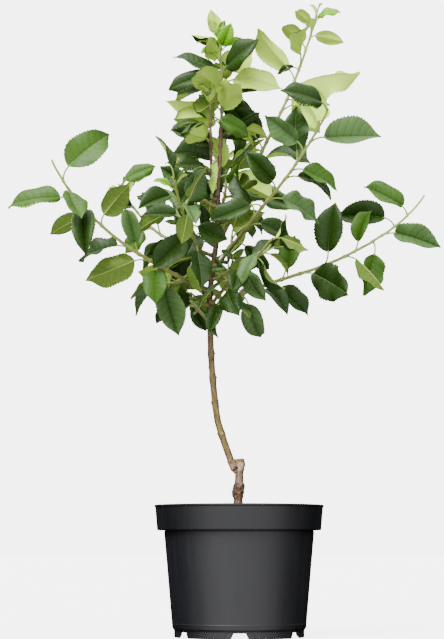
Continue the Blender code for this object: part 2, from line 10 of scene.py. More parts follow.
import bmesh
import bpy
import numpy as np
from mathutils import Matrix, Vector, noise
from mathutils.bvhtree import BVHTree


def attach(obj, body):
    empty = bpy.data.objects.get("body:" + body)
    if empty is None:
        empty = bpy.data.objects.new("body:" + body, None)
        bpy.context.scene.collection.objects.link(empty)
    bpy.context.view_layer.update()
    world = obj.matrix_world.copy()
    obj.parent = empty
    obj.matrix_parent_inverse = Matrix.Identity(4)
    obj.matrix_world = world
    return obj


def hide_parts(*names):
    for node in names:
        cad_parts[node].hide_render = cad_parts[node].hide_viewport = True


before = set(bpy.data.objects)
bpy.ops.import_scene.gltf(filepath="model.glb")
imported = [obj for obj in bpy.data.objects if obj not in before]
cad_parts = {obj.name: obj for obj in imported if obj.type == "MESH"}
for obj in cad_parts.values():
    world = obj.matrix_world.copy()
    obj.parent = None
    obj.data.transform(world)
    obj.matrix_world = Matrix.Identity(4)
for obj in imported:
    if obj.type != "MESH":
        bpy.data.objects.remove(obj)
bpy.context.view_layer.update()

CLEAR = 0.0003                # gap between neighbouring pieces

# The pot: a turned plastic shell on six feet, with a deep collar round its top
POT_HEIGHT = 0.178
RIM_RADIUS = 0.1155           # outer radius of the lip round the top
LIP_HEIGHT = 0.0026
LIP_UNDERCUT = 0.0008
COLLAR_TOP_RADIUS = 0.1142
COLLAR_FOOT_RADIUS = 0.1116
COLLAR_FOOT = 0.1437          # height of the collar's lower edge
BODY_TOP_RADIUS = 0.1022
BODY_FOOT_RADIUS = 0.0906
BODY_FOOT = 0.0125            # height where the body steps in to the foot ring
FOOT_STEP = 0.003             # height of the step's slope
FOOT_RADIUS = 0.0880
FOOT_WIDTH = 0.0034
WALL = 0.0018
FLOOR_UNDERSIDE = 0.0088
WELD = 0.0001                 # points of the turned profile on the axis are joined within this
FEET = 6
NOTCH_HEIGHT = 0.0080
NOTCH_REACH = 0.25            # how far a cutter goes on below the ground, as a share of its height
NOTCH_WIDTH = 0.0234          # at the ground
NOTCH_TOP_WIDTH = 0.0160
NOTCH_DEPTH = 4 * FOOT_WIDTH
POT_SPOKES = 192
POT_CORNER = 0.0012           # how round its edges are
CORNER_PIECES = 3
CORNER_SHARE = 0.45           # and the most of a side that a round corner takes
POT_SHARP = 32.0              # edges that turn by more degrees than this stay sharp
GROOVE_DEPTH = 0.0008         # the groove under the collar
GROOVE_HEIGHT = 0.0011
BEAD = 0.0004                 # the low bead round the foot of the body
BEAD_HEIGHT = 0.0180
FRAME_WIDTH = 0.0396          # the sunk frames round the notches
FRAME_HEIGHT = 0.0090
FRAME_ROUND = 0.0035
FRAME_DEPTH = 0.0009
FRAME_COLUMNS = 24

# The soil: flat round the trunk, with a low fall towards the wall, lumps and loose crumbs
SOIL_LEVEL = 0.160
SOIL_EDGE_FALL = 0.005
SOIL_FLAT = 0.3               # share of the radius before the fall starts
SOIL_BELOW = 0.0012           # how far the fine surface starts below the level
SOIL_MIDDLE = 0.001           # and its middle point
SOIL_LUMPS = 0.0016
SOIL_LUMP_SCALE = 160
SOIL_LUMP_DETAIL = 5
SOIL_RIM_FADE = 8             # how late the lumps fade out towards the wall
SOIL_RINGS = 40
SOIL_SPOKES = 120
CRUMBS = 420
CRUMB_SEED = 4
CRUMB_SIZE = (0.0008, 0.0024)
CRUMB_REACH = 0.97            # share of the radius with crumbs
CRUMB_STRETCH = ((0.7, 1.6), (0.6, 1.1), (0.5, 0.9))
CRUMB_CORNER = (0.75, 1.2)

# The rootstock, as (x, height, radius): flare, burr, shaft and the cut stub above the graft
ROOTSTOCK = (
    (-0.0010, SOIL_LEVEL + CLEAR, 0.0095),
    (-0.0012, 0.168, 0.0068),
    (-0.0013, 0.184, 0.0057),
    (-0.0018, 0.194, 0.0071),
    (-0.0002, 0.2035, 0.0070),
    (0.0002, 0.209, 0.0054),
    (0.0002, 0.221, 0.0053),
    (0.0003, 0.232, 0.0077),
    (-0.0003, 0.2405, 0.0073),
)

# The grafted stem, as (x, height), from inside the stub to the fork
STEM = (
    (-0.0030, 0.2245),
    (-0.0078, 0.2290),
    (-0.0119, 0.2405),
    (-0.0165, 0.2530),
    (-0.0212, 0.2665),
    (-0.0255, 0.2800),
    (-0.0305, 0.3006),
    (-0.0360, 0.3507),
    (-0.0390, 0.4024),
    (-0.0398, 0.4660),
    (-0.0349, 0.5100),
    (-0.0290, 0.5606),
    (-0.0290, 0.6050),
)
STEM_FOOT_RADIUS = 0.0043
STEM_FORK_RADIUS = 0.0028
RING_HEIGHTS = (0.2746, 0.3176, 0.3512, 0.3850)
RING_SWELL = 0.22
RING_SPREAD = 0.0035
STEM_PIECES = 6               # pieces of the curve between two points of the stem

# Limbs are marched in short steps
MARCH = 0.004
LEAST_STEPS = 3
COLLAR_RUN = 0.004            # a limb leaves the trunk level for this far
TWIG_TIP_RADIUS = 0.0011
TUBE_SIDES = 6                # sides of the tubes that leaves are tested against

# The crown's space: no leaf reaches past it at these shares of its length
CROWN_HALF_WIDTH = 0.306
CROWN_HALF_DEPTH = 0.228
CROWN_FOOT = 0.40
CROWN_TOP = 0.906
CROWN_TESTS = (0.3, 0.6, 1.0)

# Leaves
LEAF_RATIO = 0.58             # width to length
LEAF_CELLS = 4
PETIOLE_SHARE = 0.26          # petiole length as a share of the blade's
PETIOLE_AHEAD = 0.8           # how far a petiole follows its blade, its stem and the sky
PETIOLE_ALONG = 0.35
PETIOLE_UP = 0.15
PETIOLE_CLEAR = 0.003         # a petiole is tested from this far outside the bark
BLADE_BELLY = 0.85            # exponents of the outline, which is widest a little past the middle
BLADE_ROUND = 0.75
BLADE_TIP = 0.06              # least width, as a share of the widest
PHYLLOTAXIS = 144.0           # degrees from one leaf to the next
NODE_OFFSET = 0.4             # where a leaf sits in its node's share of the shoot
NODE_JITTER = 0.3
SWING = 32.0                  # how far leaves lean to the front and the back, degrees
TILT = (28.0, 72.0)           # how far their upper sides lean from the sky, degrees
BEND = (15.0, 55.0)           # how far a blade curls down along its length, degrees
FOLD = (8.0, 32.0)            # how far each half is raised along the midrib, degrees
UNDERSIDES = (0.15, 0.35, 0.70)   # share of leaves that face away, from the crown's foot to its top
END_ON = 0.3                  # a leaf that points at its facing closer than this faces level instead
GUARD = 0.0013                # half thickness of the room that each leaf keeps free
TRIES = 14                    # places tried for a leaf before it is left out
YOUNG_FROM = 0.68             # share of a shoot where its leaves start to get smaller
SIZES = (0.86, 1.12)          # spread of leaf lengths
MAIN_SIZE = 1.20              # a shoot's main leaves are larger
MAIN_SWING = 0.3              # lean less to the front and the back
MAIN_TILT = (52.0, 76.0)      # and show more of their face

# Degrees that a leaf's clock angle, its swing and the heading that its upper side faces may stray,
# at first and more with each try
STRAY = ((3, 3), (6, 5), (25, 5))

# Shoots. heading and rise are read along the shoot in degrees: heading 0 is +X and 90 is the back.
# height is where it leaves the trunk, and side the heading that it leaves on if that is another.
# bare is the part without leaves, which is the bough. clocks gives the way that the leaf at each
# node points as seen from the front, from 0 at the right, anticlockwise, in the order they grow,
# and None is a bare node. main lists the nodes of the main leaves, counted from 0. young is how
# much smaller the leaves get towards the tip. The leader goes on from the fork, and the second one
# leaves a little below it.
SHOOT = dict(height=None, side=None, young=0.0, facing=-90, main=())
SPUR = dict(SHOOT, rise=(30, 45), length=0.022, radius=0.0017, bare=0.0)
SECOND_DROP = 0.006
SPUR_FIRST = 0.25             # a spur's leaves start at this share of it
LEADERS = ("leader", "second_leader")
SHOOTS = {
    "left_low": dict(
        SHOOT, height=0.465, heading=(-132, -143), rise=(26, 15, 20, 29, 41, 60), length=0.320,
        radius=0.0026, bare=0.18, leaf=0.060, phase=288, seed=19, main=(1, 3, 11, 13),
        clocks=(215, -77, -92, 212, 102, 208, None, None, 46, 205, -84, 182, -60, 53, None)),
    "left_mid": dict(
        SHOOT, height=0.522, heading=(137, 134), rise=(24, 18, 42, 50), length=0.222, radius=0.0024,
        bare=0.20, leaf=0.051, young=0.1, phase=288, seed=8,
        clocks=(210, 206, None, 116, 235, None, 175, 100, 27)),
    "right_low": dict(
        SHOOT, height=0.447, heading=(43, 34, 30, 30), rise=(29, 20, 18, 26, 33, 52), length=0.430,
        radius=0.0027, bare=0.11, leaf=0.060, phase=72, seed=29, main=(6, 9, 10, 11),
        clocks=(-73, -50, -48, 82, -38, 35, 83, -50, 75, -97, -13, 175, 160, None)),
    "right_mid": dict(
        SHOOT, height=0.506, heading=(-46, -46), rise=(38, 40, 36, 44, 52), length=0.278,
        radius=0.0024, bare=0.13, leaf=0.058, phase=144, seed=15, main=(11,),
        clocks=(-45, -15, -25, 100, 205, -30, 133, -25, -20, 95, 148, -2, 110, 172)),
    "right_upright": dict(
        SHOOT, height=0.546, heading=(38, 38, 43), rise=(58, 62, 60, 65, 71), length=0.400,
        radius=0.0025, bare=0.20, leaf=0.064, young=0.65, phase=216, seed=57, main=(4, 9),
        clocks=(-25, None, 20, 140, 136, -60, 10, -52, -5, 128, 45, 118, 2, 150, 20)),
    "front_high": dict(
        SHOOT, height=0.500, heading=(-112, -98), rise=(34, 22, 26, 38), length=0.200, radius=0.0022,
        bare=0.16, leaf=0.055, young=0.1, phase=72, seed=8, facing=-30,
        clocks=(216, -85, 222, -15, 182, 60, 205, 120)),
    "front_low": dict(
        SHOOT, height=0.456, heading=(-50, -66), rise=(36, 20, 24), length=0.160, radius=0.0022,
        bare=0.18, leaf=0.048, young=0.1, phase=288, seed=18, facing=-150,
        clocks=(-71, 230, -63, 20, -45, 250, -20)),
    "back_high": dict(
        SHOOT, height=0.575, heading=(80, 95), rise=(38, 30, 36, 48), length=0.200, radius=0.0022,
        bare=0.16, leaf=0.063, young=0.1, phase=144, seed=9, facing=20,
        clocks=(140, -10, 170, 45, 120, 10, 150, 80)),
    "back_low": dict(
        SHOOT, height=0.432, heading=(118, 100), rise=(34, 20, 30), length=0.175, radius=0.0022,
        bare=0.18, leaf=0.051, young=0.1, phase=288, seed=15, facing=160,
        clocks=(205, -60, 160, -20, 240, 130, 190)),
    "leader": dict(
        SHOOT, heading=(64, 60, 180), rise=(82, 86, 86, 84), length=0.233, radius=0.0024, bare=0.10,
        leaf=0.060, young=0.5, phase=144, seed=55, main=(13, 15),
        clocks=(-50, 187, 185, 160, 55, 195, 82, 165, 100, 180, 20, 150, 195, -17, 165, 50, 110,
                150, 60, 170, 105)),
    "second_leader": dict(
        SHOOT, side=190, heading=(-100, -110), rise=(72, 84, 88, 84), length=0.150, radius=0.0020,
        bare=0.14, leaf=0.054, young=0.2, phase=72, seed=21,
        clocks=(215, 185, 230, 200, 195, -20, 135, 150)),
    "spur_low_front": dict(
        SPUR, height=0.440, heading=(-62,), leaf=0.050, phase=288, seed=15, clocks=(-83, -30, 260)),
    "spur_low_left": dict(
        SPUR, height=0.452, heading=(205,), leaf=0.042, phase=144, seed=5, clocks=(228, 200, 260)),
    "spur_mid_right": dict(
        SPUR, height=0.488, heading=(-15,), leaf=0.054, phase=288, seed=13, clocks=(-58, -30, -85)),
    "spur_mid_left": dict(
        SPUR, height=0.535, heading=(215,), leaf=0.049, phase=0, seed=26, clocks=(216, 190, 250)),
    "spur_high_right": dict(
        SPUR, height=0.568, heading=(15,), leaf=0.048, phase=144, seed=16, clocks=(-16, 20, -50)),
    "spur_high_left": dict(
        SPUR, height=0.590, heading=(190,), leaf=0.060, phase=72, seed=28, clocks=(182, 222, 150)),
}

# Fine blades: rows that follow the side veins, and columns from one margin to the other
VEINS = 8
FIRST_VEIN = 0.6              # place of the first side vein, in gaps between veins
VEIN_ROWS = (-0.035, 0.035, 0.20, 0.40, 0.60, 0.80)
BASE_ROWS = (0.0, 0.02, 0.045)
LAST_ROW = 0.985
HALF_COLUMNS = (0.035, 0.12, 0.30, 0.52, 0.74, 0.90, 1.0)
RIB_COLUMN = 0.035
RIB_HALF_WIDTH = 0.0007
RIB_TAPER = 0.7
RIB_MOST = 0.08               # the widest that a rib may be, as a share of the half width
VEIN_SWEEP = 0.17             # how far a side vein runs forward, as a share of the length
VEIN_BOW = (0.55, 0.45)       # how much of that is straight, and how much is bowed
MARGIN_SHARP = 14             # how narrow the margin's band is
TOOTH = 0.038                 # depth of the margin's teeth, as a share of the half width
TOOTH_LEAN = 0.006
TOOTHED = (0.05, 0.97)        # the part of the length with teeth
BLADE_THICKNESS = 0.0003
BREADTH = (1.06, 1.34)        # spread of the blades' widths, against those of the solids
BASE_ROUND = 0.60             # the outline is rounder towards the base
TIP_TAPER = 0.82              # where the outline starts to draw out to a point
TIP_NARROW = 0.45             # and how much it narrows there
TIP_WIDTH = 0.03              # the outline's least half width, as a share of the widest
OUTLINE_ENDS = (0.002, 0.998)
DISH = (1.6, 0.6)             # each half rises steeply beside the rib and flattens outwards
CURL = (-0.05, 0.50)          # how far the margins roll down
EXTRA_FOLD = (0.05, 0.42)     # how much further the halves are raised than in the plan, radians
MARGIN_WAVE = (0.015, 0.060)
MARGIN_WAVES = (1.2, 2.4)     # how many waves there are along a margin
QUILT = 0.00035               # how far the blade bulges between its side veins
QUILT_POWERS = (0.8, 4, 0.4)  # how full the cushions are between veins, to the margin and lengthwise
UNDER_QUILT = 0.4             # how much the side veins stand out below
UNDER_QUILT_REACH = 0.85
RIB_GROOVE = 0.0004
RIB_HEIGHT = 0.0008
RIB_SPREAD = 0.05             # how wide the groove and the rib's foot are
RIB_FADE = 0.8
SICKLE = 0.14                 # how far a blade curves to one side
TWIST = 24.0                  # degrees along the blade
BLADE_SHARP = 60.0            # edges that turn by more degrees than this stay sharp

# Petioles and buds
PETIOLE_RINGS = 9
PETIOLE_SIDES = 8
PETIOLE_FLARE = 0.0016
PETIOLE_NECK = 0.0011
PETIOLE_THIN = (0.55, 0.45)   # share of the neck of any leaf, and the rest of it for a long one
PETIOLE_LONG_LEAF = 0.05
PETIOLE_FADE = 6              # how soon the flare at its foot ends
PETIOLE_LEAVE = (0.4, 0.6)    # how far it starts along the stem and along its own line
PETIOLE_ARMS = (0.45, 0.30)   # how far it keeps to its first and its last direction
PETIOLE_UNDER = 0.04          # how far it goes on under the blade, as a share of its length
BUD_LENGTH = 0.0042
BUD_RADIUS = 0.0011
BUD_SHAPE = (0.7, 1.0, 1.05, 0.85, 0.5, 0.12)
BUD_OUT = 0.9                 # how far out its foot is, as a share of the stem's radius
BUD_AHEAD = 0.0022
BUD_LEAN = 0.35
BUD_SUNK = 0.001

# Tufts of young leaves at the tips: which shoots have one and of how many leaves, and how far the
# innermost and the outermost leaf follow the shoot and leave it
TIPPED = dict(leader=9, right_upright=5, second_leader=4, back_high=4, front_high=3, left_mid=3)
TIP_LEAF_LENGTH = (0.011, 0.034)
TIP_REACH = 0.14
TIP_ALONG = (1.0, 0.4)
TIP_OUT = (0.3, 1.1)
TIP_STALK = 0.35
TIP_BEND = (20, 60)
TIP_FOLD = (55, 20)
TIP_FOLD_JITTER = 8

# Tones: which leaves are young, how many upper sides are dark or grey, the grey partly a painted sheen of
# reflected light, and how many undersides are pale from the crown's foot to its top, and more towards its
# sides; the others are a darker olive that paints shade low in the crown and near its middle
YOUNG_SHOOT = 0.3
YOUNG_SHARE = 0.86
DARK_BELOW = 0.72
GREY_ABOVE = 0.86
PALE_BELOW = (0.05, 0.1, 0.25, 0.65, 1.0, 1.0)
PALE_OUTWARD = 0.5
NAME_SEED = 31                # the draws of a mass start from the length of its name times this
# Tones of both sides of a leaf; the darker olive underside of the dark and olive ones paints shade
TONES = dict(dark=("upper_dark", "under_shaded_olive"), pale=("upper_mid", "under_pale"),
             olive=("upper_mid", "under_shaded_olive"), young=("upper_young", "under_pale"))

# Planned leaves, counted along each shoot: those that show their other side, and those whose upper
# sides have another tone
TURNED = dict(left_low=(1, 10), left_mid=(0,), front_low=(6,), front_high=(0, 3), right_low=(4, 6, 8),
              right_mid=(8, 9), right_upright=(0, 2, 3, 4, 7), leader=(2, 8, 12, 18), second_leader=(2,),
              back_low=(0, 1, 3, 4), back_high=(2,), spur_mid_left=(0,), spur_high_left=(1, 2),
              spur_low_left=(1,))
RETONED = dict(
    upper_mid=dict(left_low=(3, 9, 10, 11), left_mid=(5, 6), right_low=(8, 11)),
    upper_grey_sheen=dict(left_low=(1, 4), right_low=(0, 9), right_mid=(4, 10), spur_mid_left=(0,),
                    front_low=(1, 2, 5), right_upright=(0, 4)),
    upper_dark=dict(leader=(11, 13, 18), front_low=(0, 3), front_high=(4, 5, 6), right_mid=(3,),
                    spur_high_left=(0,)),
)

# Planned leaves that hang a little otherwise in the photo: degrees turned as seen from the front,
# how much larger, and degrees rolled about their own length
ADJUSTED = dict(
    left_low={3: (0, 1.0, 40), 8: (0, 1.3, 0), 9: (-24, 1.05, 0)},
    right_mid={10: (8, 1.15, 0)},
    right_low={4: (-8, 1.2, -45), 8: (0, 0.9, 0), 11: (0, 1.15, 0)},
    right_upright={7: (4, 1.6, 0), 11: (0, 1.3, 0)},
    leader={17: (0, 0.8, 0)},
)

# More leaves at the crown's top: the shoot and the share of it that each grows from, its clock
# angle, its swing, its length, the heading that its upper side faces, and its tones
TOP_SEED = 3
TUFT_LEAF = 0.028             # smaller ones may touch their neighbours
TOP_STRAY = (*STRAY[:2], None)    # they keep the way that they face
TOP_LEAVES = (
    ("leader", 0.73, 34, -26, 0.064, -90, "dark"),
    ("leader", 0.74, 62, 56, 0.056, 90, "pale"),
    ("leader", 0.66, -42, 12, 0.056, -90, "dark"),
    ("leader", 0.67, 182, -14, 0.064, -90, "dark"),
    ("leader", 0.57, -128, -10, 0.050, 90, "olive"),
    ("leader", 0.77, -97, 4, 0.058, 90, "pale"),
    ("leader", 0.70, -76, -20, 0.046, 90, "pale"),
    ("leader", 0.45, -165, -26, 0.058, 90, "pale"),
    ("leader", 0.88, 205, -34, 0.027, -90, "young"),
    ("leader", 0.94, 172, -30, 0.018, 90, "pale"),
    ("leader", 0.98, 128, -12, 0.022, 90, "pale"),
    ("leader", 0.99, 62, -8, 0.018, 90, "olive"),
    ("leader", 0.96, 85, -30, 0.015, -90, "young"),
    ("leader", 0.92, 10, -36, 0.018, 90, "pale"),
    ("leader", 0.90, 150, -40, 0.015, -90, "dark"),
    ("right_upright", 0.65, -54, -10, 0.044, -90, "dark"),
    ("right_upright", 0.74, 200, 12, 0.026, -90, "dark"),
    ("right_upright", 0.95, 12, -8, 0.034, -90, "young"),
)

# More spurs than the solids have, to fill the crown within its reach
FILL_SEED = 9
FILL_GAP = 0.041
FILL_REACH = 0.18             # the share of each limb that carries them
FILL_REACH_INNER = 0.80       # but more of the leaders and of the limbs to the front and the back
FILL_FIRST = 0.8              # place of the first one, in gaps between spurs
FILL_FOOT = 0.470
FILL_LENGTH = (0.012, 0.026)
FILL_STEPS = 6
FILL_RADIUS = 0.0013
FILL_AHEAD = 0.5              # how far it follows its limb and the sky
FILL_UP = 0.35
FILL_CLOCK = 40               # degrees that its leaves' clock angle strays from its own
FILL_LEAN = 0.7               # how far they follow its lean
FILL_LEAF = (0.040, 0.056)
FILL_LEAVES = ((0.45, -50), (0.75, 55), (1.0, 0))   # each one's share of the spur and its turn
FILL_STRAY = ((20, 6), (15, 5), (40, 8))
FILL_LOWEST = 0.450           # none hangs below this height
FILL_ASIDE = 0.014            # nor in front of the trunk, nearer to its line than this
FILL_TESTS = (0.0, 0.35, 0.7, 1.0)

# Rings along the shoots
SHOOT_FULL = 0.0004           # bark that the fine shoots add
RING_GAP = 0.002
LEAST_RINGS = 4
SHOOT_SIDES = 12
SHOOT_INSIDE = 0.75           # how deep a foot starts inside its parent, as a share of its radius
SHOOT_END = 0.5               # its last ring's radius, as a share of what its taper gives
NODE_SWELL = 0.38
NODE_SPREAD = 0.0022
COLLAR_FLARE = 0.45
COLLAR_SPREAD = 0.0035
WOBBLE = 0.0005               # how far a shoot wavers from its line
WOBBLE_SEED = 1
WOBBLE_SCALE = 60.0
WOBBLE_START = 8              # how soon along the shoot it is full
PLAIN_SHARP = 40.0            # edges that turn by more degrees than this stay sharp

# The trunk's fine mesh and its relief
TRUNK_VOXEL = 0.0006
TRUNK_SOFTENING = (0.5, 8)    # strength and number of its smoothing steps
STEM_FULL = 0.0007            # bark that the fine stem adds
STEM_SIDES = 20
ROOT_FULL = 0.0004            # and the fine rootstock
ROOT_SIDES = 24
ROOT_PIECES = 6
RING_SLANT = 0.12
BURR_MIDDLE = 0.19675
CUT_HEIGHT = 0.2385
CUT_FACING = 0.75             # how far the cut's faces turn up
CUT_REACH = 0.0075
CALLUS = ((-0.0058, -0.0006, 0.2215), (-0.0052, -0.0009, 0.2270), (-0.0038, -0.0010, 0.2330),
          (-0.0020, -0.0006, 0.2375))
CALLUS_RADIUS = 0.0056
CALLUS_SIDES = 16
CALLUS_PIECES = 4
CALLUS_ENDS = (0.12, 0.76)    # where its bulge starts on a half wave, and how much of it it takes
BUD_SCARS = ((0.3850, 10), (0.3668, 195), (0.3520, 350), (0.3180, 160), (0.2990, 30), (0.2750, 200),
             (0.4040, 150), (0.4210, 330))
BUD_SCAR = 0.0014
BUD_DEPTH = 0.0003            # how deep the buds sit in the bark
KNOTS = ((0.2020, 10), (0.1935, 185), (0.1880, 330), (0.1990, 280), (0.2330, 340))
KNOT = 0.0032
KNOT_OUT = 0.0045             # how far their middles are from the rootstock's axis
LUMP_STEPS = 8
LUMP_SIDES = 12
LUMP_LONG = 1.6
LUMP_END = 0.15
SCAR_LINE = 0.0008
RING_LINES = (0.2720, 0.3176, 0.3512)         # where dark lines run round the stem
# Ragged spots on the trunk's front, as (x, height, size)
WOUNDS = ((-0.0036, 0.2282, 0.0027), (-0.0064, 0.2256, 0.0025), (-0.0080, 0.2216, 0.0019))
# Pale spots that paint the highlight on the graft head's knobs
HEAD_HIGHLIGHT_SPOTS = ((0.0022, 0.2322, 0.0052), (0.0012, 0.2270, 0.0036))
PALE_SCARS = ((-0.0233, 0.2752, 0.0027),)
SPOT_FRONT = -0.0070          # how far forward the spots' middles are
SPOT_DEPTH = 0.25             # how much the depth counts in their size
SPOT_EDGE = (1.5, 1.0)        # where they start and where they are full, in their sizes
SPOT_RAGGED = 800.0
BURR_SPREAD = 0.011
BURR_RELIEF = 0.0009
HEAD_HEIGHT = 0.232
HEAD_SPREAD = 0.011
HEAD_RELIEF = 0.0011
STEM_RELIEF = 0.00022
FINE_RELIEF = 0.00010
LAYERS = (1.0, 2.0)           # how the noise's layers weaken, and how much finer each is
PLATE_SCALE = Vector((330, 330, 120))
PLATE_EDGE = 2.6              # how steep the plates' edges are
RIDGE_SCALE = Vector((420, 420, 60))
KNOB_SCALE = 210
FINE_SCALE = 1100
SMOOTH_ABOVE = 0.245          # the grafted stem's bark is smoother than the rootstock's
SMOOTHNESS = 0.35

# Colours: what the light shows, as (red, green, blue) in linear values. Those of the leaves are in
# the order of their slots.
LEAF_COLOURS = dict(
    upper_dark=(0.0135, 0.0395, 0.0020),
    upper_mid=(0.036, 0.098, 0.004),
    # Grey-green upper sides: partly the leaf's own paler tone, partly a painted sheen of reflected light
    upper_grey_sheen=(0.058, 0.120, 0.030),
    upper_young=(0.140, 0.360, 0.006),
    under_pale=(0.430, 0.620, 0.085),
    # A darker olive underside that paints shade, dealt out more low in the crown and near its middle
    under_shaded_olive=(0.115, 0.190, 0.024),
    upper_vein=(0.024, 0.056, 0.005),
    under_vein=(0.400, 0.560, 0.110),
    # and the veins of that underside, darkened by the same painted shade
    under_shaded_olive_vein=(0.170, 0.250, 0.045),
    rib=(0.085, 0.155, 0.025),
)
LEAF_SLOTS = tuple(LEAF_COLOURS)
PETIOLE_GREEN = (0.250, 0.370, 0.065)
BUD_BROWN = (0.080, 0.065, 0.022)
SCAR_BROWN = (0.060, 0.026, 0.018)
RING_BROWN = (0.090, 0.060, 0.030)
SCAR_PALE = (0.330, 0.230, 0.140)
# The pale colour of the painted highlight on the graft head
PAINTED_HEAD_HIGHLIGHT = (0.560, 0.400, 0.260)
BARK_SHADOW = (0.040, 0.025, 0.015)
BARK_FLECK = (0.30, 0.24, 0.13)
PLASTIC_TONES = ((0.0040, 0.0041, 0.0058), (0.0058, 0.0059, 0.0078))
PLASTIC_DUST = (0.0130, 0.0130, 0.0145)
PEAT_TONES = ((0.022, 0.014, 0.009), (0.075, 0.048, 0.028))
PEAT_FIBRE = (0.15, 0.10, 0.06)
WOOD_TONES = ((0.20, 0.15, 0.11), (0.36, 0.30, 0.24))
FLOOR_TONES = ((0.50, 0.50, 0.50), (0.52, 0.52, 0.52))
WHITE = (1.0, 1.0, 1.0)

# How much lighter or darker the second tint of some parts is than their first
RIB_TINT = 0.75
PETIOLE_TINT = 0.7
BUD_TINT = 1.7
RING_TINT = 1.6
FLECK_TINT = 1.7
NET_TINT = 1.2                # and how much a blade's veinlets are, as a share of its spread of tones

# Finishes, as (roughness, reflection)
STALK_FINISH = (0.45, 0.4)
TWIG_FINISH = (0.5, 0.35)
BARK_FINISH = (0.7, 0.15)
PLASTIC_FINISH = (0.42, 0.45)
PEAT_FINISH = (0.95, 0.2)
WOOD_FINISH = (0.8, 0.25)
FLOOR_FINISH = (0.8, 0.0)
UPPER_FINISH = dict(finish=(0.44, 0.26), spread=0.24, grain=0.25)
UNDER_FINISH = dict(finish=(0.72, 0.25), spread=0.12, grain=0.35)
BLADE_ROUGHER = (-0.06, 0.08)     # how far a blade's roughness varies
PLASTIC_ROUGHNESS = (0.40, 0.48)

# Patterns, as the noise's scale, the values where a tone starts and where it is full, and its detail
NOISE_DETAIL = 3.0
NOISE_ROUGHNESS = 0.6
BLADE_PATCHES = (45.0, 0.32, 0.68)
BLADE_GLOSS = (160.0, 0.2, 0.8)
STALK_STREAKS = (220.0, 0.35, 0.75)
TWIG_FLECKS = (900.0, 0.62, 0.70)
BARK_STREAKS = (420.0, 0.42, 0.60, 5.0)
BARK_FLECKS = (620.0, 0.62, 0.68, 2.0)
FLOW_STREAKS = (60.0, 0.3, 0.7, 4.0)
DUST = (350.0, 0.60, 0.85, 6.0)
PEAT_PATCHES = (130.0, 0.3, 0.7, 6.0)
PEAT_FIBRES = (1100.0, 0.62, 0.75, 4.0)
FLOOR_PATCHES = (1.5, 0.2, 0.8)
VEINLETS = 900.0              # how fine a blade's net is
VEINLET_WIDTH = 0.25
VEINLET_RELIEF = 0.0002
WOOD_RINGS = 240.0
WOOD_WARP = 4.0

# Grain, as the noise's scale, its strength, its height and its detail. That of a blade has no
# strength here, because its two sides differ, and that of the wood follows the rings.
BLADE_CRINKLES = (330.0, 0.0012)
STALK_GRAIN = (2600.0, 0.3, 0.0001)
TWIG_GRAIN = (1400.0, 0.35, 0.0003)
BARK_GRAIN = (1500.0, 0.8, 0.0006, 6.0)
PLASTIC_GRAIN = (1800.0, 0.10, 0.0003, 4.0)
PEAT_GRAIN = (700.0, 0.8, 0.001, 8.0)
WOOD_GRAIN = (0.4, 0.0003)

# Bark: how far its patterns are stretched, how strong its streaks are, how uneven its bands are,
# and painted shade at its edges: the share of its colour that is left where it turns away from the camera,
# and where that starts and is full
BARK_STRETCH = (1.0, 1.0, 0.22)
FLOW_STRETCH = (1.0, 1.0, 0.12)
BARK_STREAKING = 0.70
BAND_NOISE = 120.0
BAND_UNEVEN = 0.012
BARK_EDGE_SHADE = 0.12
EDGE_SHADE_FROM = (0.06, 0.66)

# Bark colours by place: heights up the trunk, and distances out along the shoots
TRUNK_SPAN = (0.16, 0.62)
TRUNK_TONES = (
    (0.172, (0.300, 0.230, 0.170)),
    (0.190, (0.200, 0.112, 0.072)),
    (0.209, (0.100, 0.048, 0.030)),
    (0.215, (0.300, 0.220, 0.150)),
    (0.236, (0.380, 0.245, 0.150)),
    (0.250, (0.235, 0.165, 0.060)),
    (0.275, (0.225, 0.172, 0.040)),
    (0.345, (0.225, 0.168, 0.062)),
    (0.400, (0.185, 0.125, 0.058)),
    (0.470, (0.135, 0.080, 0.050)),
    (0.600, (0.110, 0.062, 0.040)),
)
SIDE_TONES = (
    (0.000, (0.100, 0.072, 0.034)),
    (0.030, (0.125, 0.112, 0.036)),
    (0.060, (0.195, 0.200, 0.055)),
    (0.160, (0.240, 0.285, 0.062)),
    (0.290, (0.310, 0.410, 0.075)),
)
LEADER_TONES = (
    (0.000, (0.110, 0.062, 0.040)),
    (0.110, (0.140, 0.085, 0.050)),
    (0.160, (0.150, 0.150, 0.040)),
    (0.220, (0.280, 0.380, 0.065)),
    (0.260, (0.300, 0.420, 0.070)),
)
TONE_STEPS = 8                # tones that the shoots' colours are made in
# Where the distances are measured from, how much each axis counts, and the colours
SIDE_REACH = ((-0.033, 0.0, 0.54), (1.0, 1.0, 0.62), SIDE_TONES)
LEADER_REACH = ((-0.033, 0.0, 0.59), (0.2, 0.2, 1.0), LEADER_TONES)

# Camera and light
EYE = (-0.0233, -2.8, 0.1166)
AIM = (-0.0233, 0.0, 0.4321)
SENSOR = 36.0
LENS = 115.4
# Light by how far a direction turns to the front or up: where it starts to glow and where it is
# full, from -1 to 1, and its strength before and after
EVEN_LIGHT = (-0.4, 0.9, 0.35, 1.15)
SOFT_BOX = (0.05, 0.80, 0.0, 2.0)
SUN_HEADING = -120            # a little to the left of the front
SUN_RISE = 50
SUN_STRENGTH = 7.5
SUN_SOFTNESS = 50.0
BACKDROP = 5.6                # the white that the camera sees
FLOOR_GLOW = 4.5
FLOOR_HALF = 40


def step_at(row, share):
    """The gap that a share of a row of even steps falls in, and the place within that gap."""
    place = max(0.0, min(1.0, share)) * (len(row) - 1)
    index = min(int(place), len(row) - 2)
    return index, place - index


